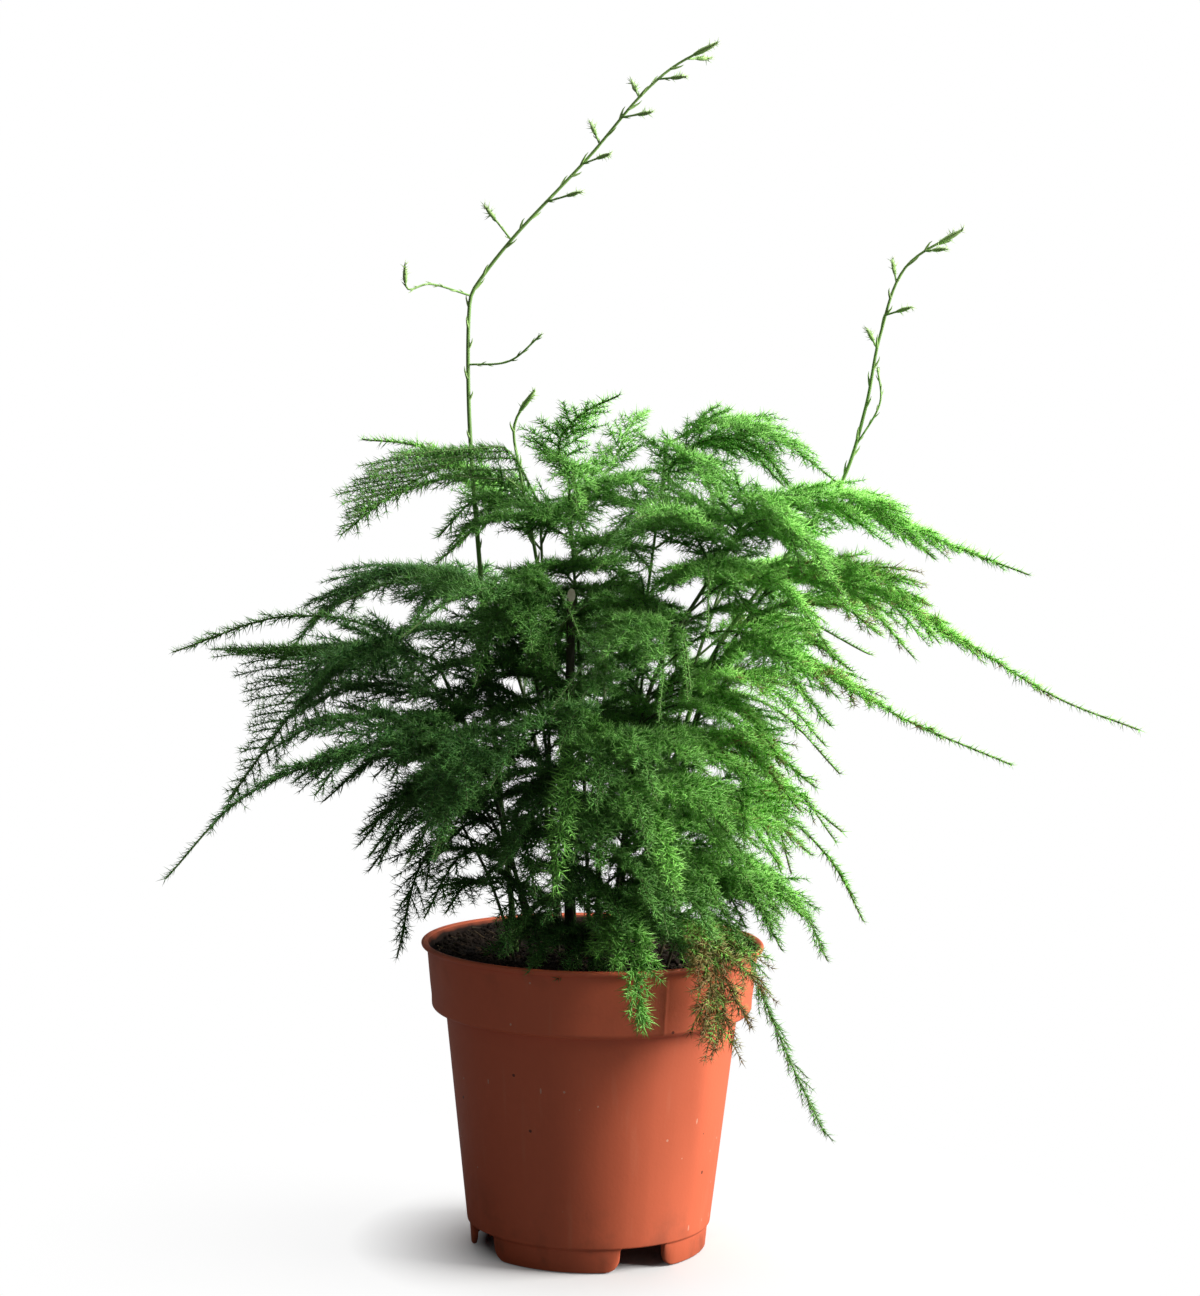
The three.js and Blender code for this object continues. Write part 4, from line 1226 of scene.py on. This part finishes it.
def crumb_tree():
    """Scatters crumbs and slivers over the upward faces of the soil."""
    g, given = new_tree("crumbs_on_soil", "Soil", (
        ("Crumbs", "Float", 400000.0), ("Seed", "Int", 4),
        ("Soil Look", "Material", None), ("Litter Look", "Material", None),
    ))
    seed = Wire(g, given["Seed"])
    facing, place = (g.parts(g.out("GeometryNodeInput" + what))[2] for what in ("Normal", "Position"))
    upward = (facing > 0.35) * (place > 0.09)

    def strew(shape, share, low, high, k, look, flat=1.0):
        points = g.out("GeometryNodeDistributePointsOnFaces", {
            "Mesh": given["Soil"], "Selection": upward, "Density": Wire(g, given["Crumbs"]) * share,
            "Seed": seed + k})
        size = g.chance(0, 1, seed + (k + 1)) ** 2.5 * (high - low) + low
        squash = g.vector(size, size * g.chance(0.6, 1.0, seed + (k + 2)), size * flat)
        tilts = (g.chance(-0.5, 0.5, seed + (k + 3)), g.chance(-0.5, 0.5, seed + (k + 4)))
        turn = g.turned(*tilts, g.chance(0, 6.28, seed + (k + 5)))
        return g.painted(g.strewn(points, shape, turn, squash), look)

    lump = g.out("GeometryNodeMeshIcoSphere", {"Radius": 1.0, "Subdivisions": 1})
    sliver = g.out("GeometryNodeMeshCylinder",
                   {"Vertices": 5, "Side Segments": 1, "Radius": 0.08, "Depth": 1.6}, fill_type="NGON")
    lying = g.out("GeometryNodeTransform", {"Geometry": sliver, "Rotation": (0.0, math.pi / 2, 0.0)})
    litter = strew(lying, 0.06, 0.0012, 0.0055, 40, given["Litter Look"])
    crumbs = strew(lump, 1.0, 0.00035, 0.0017, 10, given["Soil Look"], 0.8)
    return finish_tree(g, (litter, crumbs, given["Soil"]))


def soil_look(pot):
    """Moist peat: near black, with brown crumbs and rare pale grains."""
    graph, shader, made = material("potting_soil", 0.92, 0.25)
    where = graph.here()
    _, pick = graph.cells(where, 420.0, 1)
    broad = graph.grain(where, 90.0, 5.0).ramp(0.4, 0.65)
    colour = graph.mix(broad, (*tuple(pot.soil), 1), (0.030, 0.018, 0.011, 1))
    graph.feed(shader.inputs["Base Color"], graph.mix((pick > 0.93) * 0.7, colour, (0.11, 0.07, 0.04, 1)))
    graph.bump(shader, graph.grain(where, 700.0, 3.0), 0.6, 0.0004)
    return made


def litter_look():
    """Dry brown slivers of bark and root."""
    graph, shader, made = material("dry_litter", 0.85)
    tint = graph.grain(graph.here(), 160.0, 2.0).ramp(0.35, 0.65)
    graph.feed(shader.inputs["Base Color"], graph.mix(tint, (0.035, 0.022, 0.012, 1), (0.15, 0.10, 0.05, 1)))
    return made


def spray_settings(plant, looks, needles, stems, seed, **changes):
    """What the needle tree is given: the plant's own sizes, then what a piece changes."""
    settings = {
        "Needle Length": plant.needle_length, "Needle Width": plant.needle_width, "Needles": plant.needles,
        "Spread": 1.15, "Spacing": plant.tuft_spacing, "Loose": 0.34, "Stem Sides": 3, "Seed": seed,
        "Needle Look": looks[needles], "Stem Look": looks[stems],
    }
    settings.update(changes)
    return settings


class FERN_OT_stalks(bpy.types.Operator):
    """Grow the wiry stalks with their scale leaves, and the cut stub"""

    bl_idname = "fern.stalks"
    bl_label = "Stalks"

    def execute(self, context):
        plant = context.scene.fern_plant
        tree, looks = tree_and_looks(plant)
        for seed, (name, (thick, *course)) in enumerate(STALKS.items()):
            twigs = Twigs()
            path = smooth(planted(course), STALK_STEP)
            twigs.add(path, lambda t: 0.85 * thick * MM * (1 - 0.35 * t),
                      lambda t: 0.0 if t < 0.12 else 1.0, 0.45, (0, 1, 0))
            settings = spray_settings(
                plant, looks, "twig_green", "stalk_green", 100 + seed,
                **{"Needle Length": 0.0026, "Needle Width": 0.0011, "Needles": 1, "Spread": 0.2,
                   "Spacing": 0.012, "Loose": 1.2, "Stem Sides": 8})
            carry_out("fern_" + name, twigs.mesh(name + "_line"), tree, settings, name)
        stand_stub()
        return {"FINISHED"}


def stand_stub():
    """The old stalk cut short: dark sides and a pale, slightly slanted cut."""
    path = smooth(planted(STUB), STALK_STEP)
    steps = headings(path)
    bm = bmesh.new()
    rings = []
    for i, (point, step) in enumerate(zip(path, steps)):
        across = Vector((1, 0, 0)) - step * step.x
        across.normalize()
        over = step.cross(across)
        radius = (1.65 - 0.15 * i / len(path) + 0.07 * math.sin(i * 1.9)) * MM
        rings.append([bm.verts.new(point + (across * math.cos(a) + over * math.sin(a)) * radius)
                      for a in (2 * math.pi * k / STUB_SIDES for k in range(STUB_SIDES))])
    tip = [bm.verts.new(v.co + steps[-1] * 0.0022 * (1 + (v.co.y - path[-1].y) / 0.0015)
                        - (v.co - path[-1]) * 0.12) for v in rings[-1]]
    rings.append(tip)
    for first, second in zip(rings, rings[1:]):
        for k in range(STUB_SIDES):
            j = (k + 1) % STUB_SIDES
            bm.faces.new((first[k], first[j], second[j], second[k])).smooth = True
    bm.faces.new(list(reversed(rings[0])))
    cap = bm.faces.new(tip)
    cap.material_index = 1
    bmesh.ops.recalc_face_normals(bm, faces=bm.faces)
    mesh = drawn("fern_stub_cut", bm)
    mesh.materials.append(bark_look("dark_stalk", (0.035, 0.03, 0.02), (0.09, 0.085, 0.045), 0.55))
    mesh.materials.append(bark_look("cut_end", (0.75, 0.66, 0.50), (0.90, 0.82, 0.68), 0.7))
    stand_for(linked("fern_stub_cut", mesh), "stub_cut")


def bark_look(name, low, high, roughness):
    """Dry stalk or its cut end, with a fine lengthwise grain."""
    graph, shader, made = material(name, roughness)
    upright = graph.out("ShaderNodeMapping", {"Vector": graph.here(), "Scale": (900.0, 900.0, 120.0)})
    grain = graph.grain(upright, 1.0, 4.0)
    graph.feed(shader.inputs["Base Color"], graph.mix(grain.ramp(0.35, 0.7), (*low, 1), (*high, 1)))
    graph.bump(shader, grain, 0.5, 0.0003)
    return made


class FERN_OT_shoots(bpy.types.Operator):
    """Grow the long young shoots with their twigs and buds"""

    bl_idname = "fern.shoots"
    bl_label = "Young shoots"

    def execute(self, context):
        plant = context.scene.fern_plant
        tree, looks = tree_and_looks(plant)
        for seed, (name, (course, side_twigs)) in enumerate(SHOOTS.items()):
            rng = random.Random(900 + seed)
            twigs = Twigs()
            path = smooth(planted(course), SHOOT_STEP)
            twigs.add(path, lambda t: (1.15 - 0.72 * t) * MM, 0.0, lambda t: 0.12 + 0.30 * t, (0.3, 1, 0))
            press_scales(twigs, path, 0.25, 0.0065, rng)
            grow_bud(twigs, path[-4:], 0.0010)
            for twig in side_twigs:
                points = [spot(p) for p in twig]
                points[0] = min(path, key=lambda p: (p - points[0]).length)
                line = smooth(points, TWIG_STEP)
                bud = max(2, len(line) - (6 if twig != side_twigs[0] else 2))
                twigs.add(line[:bud + 1], 0.00036, 0.0, 0.45, (0, 1, 0.3))
                press_scales(twigs, line[:bud + 1], 0.1, 0.0026, rng, 0.55)
                grow_bud(twigs, line[bud:], 0.0008)
            settings = spray_settings(plant, looks, "shoot_green", "shoot_green", 200 + seed,
                                      **{"Spacing": 0.0009, "Spread": 0.6, "Loose": 1.2, "Stem Sides": 8,
                                         "Needle Width": 0.0009, "Needle Length": 0.0050, "Needles": 4})
            carry_out("fern_" + name, twigs.mesh(name + "_line"), tree, settings, name)
        return {"FINISHED"}


def grow_bud(twigs, line, radius):
    """A bud of pressed scales at the end of a twig: a spindle with short forward needles."""
    twigs.add(line, lambda t: radius * (0.35 + 0.65 * math.sin(math.pi * min(1, 0.15 + 0.85 * t))),
              lambda t: 0.42 + 0.20 * math.sin(math.pi * t), lambda t: 0.6 + 0.4 * t, (0, 1, 0.3))


def press_scales(twigs, line, start, gap, rng, size=1.0):
    """Small scale leaves that lie along a shoot, each turned a golden angle from the last."""
    steps = headings(line)
    length = run_of(line)
    distance, turn = start * length, rng.uniform(0, 6)
    while distance < 0.97 * length:
        point, ahead = at_share(line, steps, distance / length)
        across, up = level(ahead)
        out = across * math.cos(turn) + up * math.sin(turn)
        reach = rng.uniform(3.2, 5.2) * size * MM
        bend = ((0.8, 0.3), (1.5, 0.7), (1.6, 1.0))
        leaf = [point, *(point + out * (away * size * MM) + ahead * (far * reach) for away, far in bend)]
        twigs.add(leaf, lambda t: (0.62 - 0.55 * t) * size * MM, 0.0, 0.8, up)
        distance += gap * rng.uniform(0.7, 1.3)
        turn += 2.4


class FERN_OT_fronds(bpy.types.Operator):
    """Grow every frond: midrib, branches, twigs and needles"""

    bl_idname = "fern.fronds"
    bl_label = "Fronds"

    def execute(self, context):
        plant = context.scene.fern_plant
        tree, looks = tree_and_looks(plant)
        everything = [(*item, spot) for item in FRONDS.items()]
        everything += [(*item, over_lip) for item in HANGING.items()]
        for seed, (name, (stalk, along, width, *points), to_place) in enumerate(everything):
            rng = random.Random(500 + seed)
            stem = smooth(planted(STALKS[stalk][1:]), STEM_STEP)
            root = stem[round(along * (len(stem) - 1))]
            path = smooth([root, *(to_place(p) for p in points)], FROND_STEP)
            twigs = Twigs()
            # Each spray's tone is set by place, painting light and shade into its needles.
            habit = {"tail": 0.16, "tone": painted_light_tone_at(path[-1]), **HABITS.get(name, {})}
            spread = habit.pop("spread", plant.fullness)
            if name in COMBS:
                course, *teeth = COMBS[name]
                rib = smooth([root, *(spot(p) for p in course)], FROND_STEP)
                grow_comb(twigs, rib, *teeth, rng, habit["tone"])
            grow_spray(twigs, path, width * MM * spread, rng, **habit)
            for share, turn, length in COMPANIONS.get(name, ()):
                course = companion(stem, share, turn, length * MM, rng)
                grow_spray(twigs, course, length * MM * 0.92, rng, tone=painted_light_tone_at(course[-1]),
                           tail=0.12, bank=rng.uniform(-0.5, 0.5), bare=0.10)
            settings = spray_settings(plant, looks, "needle_green", "twig_green", seed)
            carry_out("fern_" + name, twigs.mesh(name + "_line"), tree, settings, name)
        return {"FINISHED"}


def painted_light_tone_at(point):
    """Painted light and shade in the needles' tone: brighter towards the right, where the key lamp stands,
    and at the left only near the top.
    """
    right, high = point.x - AXIS.x, point.z - 0.2
    tone = 0.38 + 3.8 * right + (2.4 - 60 * right) * high
    # Painted shade: sprays low by the lip get a darker tone, down to 0.45 of it.
    tone *= max(0.45, min(1.0, 0.45 + (point.z - 0.105) / 0.06))
    return max(0.05, min(0.72, tone))


class FERN_OT_stage(bpy.types.Operator):
    """Set the pale floor, the soft lights and the camera"""

    bl_idname = "fern.stage"
    bl_label = "Stage"

    def execute(self, context):
        stage = context.scene.fern_stage
        lay_floor()
        light_stage(context.scene)
        data = bpy.data.cameras.new("camera")
        data.lens = stage.lens
        data.sensor_width = 36.0
        data.shift_x = 0.0023
        data.clip_end = 50.0
        camera = linked("camera", data)
        turn = Matrix.Rotation(math.pi / 2 - stage.pitch, 4, "X") @ Matrix.Rotation(stage.roll, 4, "Z")
        camera.matrix_world = Matrix.Translation((AXIS.x, AXIS.y - stage.distance, stage.height)) @ turn
        context.scene.camera = camera
        return {"FINISHED"}


def lay_floor():
    """A wide pale floor, a hair below the feet: grey to the light's bounces, white to the camera."""
    bm = bmesh.new()
    bmesh.ops.create_circle(bm, cap_ends=True, segments=96, radius=14.0)
    floor = linked("floor", drawn("floor", bm))
    floor.location = (AXIS.x, AXIS.y, -0.0002)
    graph, shader, made = material("pale_floor", 0.9, 0.0)
    shader.inputs["Base Color"].default_value = (0.12, 0.12, 0.12, 1)
    level_with = graph.out("ShaderNodeVectorMath", {0: graph.here(), 1: (1.0, 1.0, 0.0)},
                           operation="MULTIPLY")
    away = graph.out("ShaderNodeVectorMath", {0: level_with}, "Value", operation="LENGTH")
    glow = away.ramp(0.036, 0.085) * 0.9 + away.ramp(0.085, 0.2) * 0.1
    pale = graph.out("ShaderNodeBsdfPrincipled", {
        "Roughness": 0.9, "Specular IOR Level": 0.0, "Emission Strength": 1.0,
        "Base Color": graph.mix(glow, (0.8, 0.8, 0.8, 1), (0, 0, 0, 1)),
        "Emission Color": graph.mix(glow, (0, 0, 0, 1), (1, 1, 1, 1))})
    seen = graph.out("ShaderNodeLightPath", output="Is Camera Ray")
    mixed = graph.out("ShaderNodeMixShader", {0: seen, 1: shader.outputs[0], 2: pale})
    graph.feed(made.node_tree.nodes["Material Output"].inputs["Surface"], mixed)
    floor.data.materials.append(made)
    floor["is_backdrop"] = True


def light_stage(scene):
    """A dim white surround that the camera sees as plain white, and two soft lamps."""
    world = bpy.data.worlds.new("studio")
    world.use_nodes = True
    world.node_tree.nodes.clear()
    graph = Graph(world.node_tree)
    seen = graph.out("ShaderNodeLightPath", output="Is Camera Ray")
    dim, bright = (graph.out("ShaderNodeBackground", {"Color": (1, 1, 1, 1), "Strength": strength})
                   for strength in (0.12, 1.0))
    mixed = graph.out("ShaderNodeMixShader", {0: seen, 1: dim, 2: bright})
    graph.node("ShaderNodeOutputWorld", {}, {"Surface": mixed})
    scene.world = world
    scene.view_settings.view_transform = "Standard"
    lamp("key", (1.38, -0.13, 0.80), 0.9, 50.0, (1.0, 0.985, 0.96))
    lamp("top", (0.05, 0.30, 1.5), 1.0, 18.0, (1.0, 1.0, 1.0))


def lamp(name, place, size, power, colour):
    """A square soft light that looks at the middle of the plant."""
    data = bpy.data.lights.new(name, "AREA")
    data.size = size
    data.energy = power
    data.color = colour
    light = linked(name, data)
    target = Vector((AXIS.x, AXIS.y, 0.18))
    light.location = Vector((AXIS.x, AXIS.y, 0)) + Vector(place)
    light.rotation_euler = (target - light.location).to_track_quat("-Z", "Y").to_euler()


class FERN_PT_panel(bpy.types.Panel):
    """Lists the steps that build the potted fern"""

    bl_label = "Potted Fern"
    bl_idname = "FERN_PT_panel"
    bl_space_type = "VIEW_3D"
    bl_region_type = "UI"
    bl_category = "Fern"

    def draw(self, context):
        for group in ("fern_plant", "fern_pot", "fern_stage"):
            values = getattr(context.scene, group)
            for key in values.__annotations__:
                self.layout.prop(values, key)
        for step in STEPS:
            self.layout.operator(step.bl_idname)


GROUPS = {"fern_plant": FernPlant, "fern_pot": FernPot, "fern_stage": FernStage}
STEPS = (FERN_OT_stage, FERN_OT_pot, FERN_OT_soil, FERN_OT_stalks, FERN_OT_shoots, FERN_OT_fronds)


def register():
    for cls in (*GROUPS.values(), *STEPS, FERN_PT_panel):
        bpy.utils.register_class(cls)
    for name, cls in GROUPS.items():
        setattr(bpy.types.Scene, name, PointerProperty(type=cls))


def unregister():
    for name in GROUPS:
        delattr(bpy.types.Scene, name)
    for cls in reversed((*GROUPS.values(), *STEPS, FERN_PT_panel)):
        bpy.utils.unregister_class(cls)


def main():
    register()
    bpy.ops.fern.stage()
    bpy.ops.fern.pot()
    bpy.ops.fern.soil()
    bpy.ops.fern.stalks()
    bpy.ops.fern.shoots()
    bpy.ops.fern.fronds()
    plain = lambda box: [list(map(float, corner)) for corner in box]
    {"cad": plain(CAD_BOX), "visual": plain(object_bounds())}


if __name__ == "__main__":
    main()
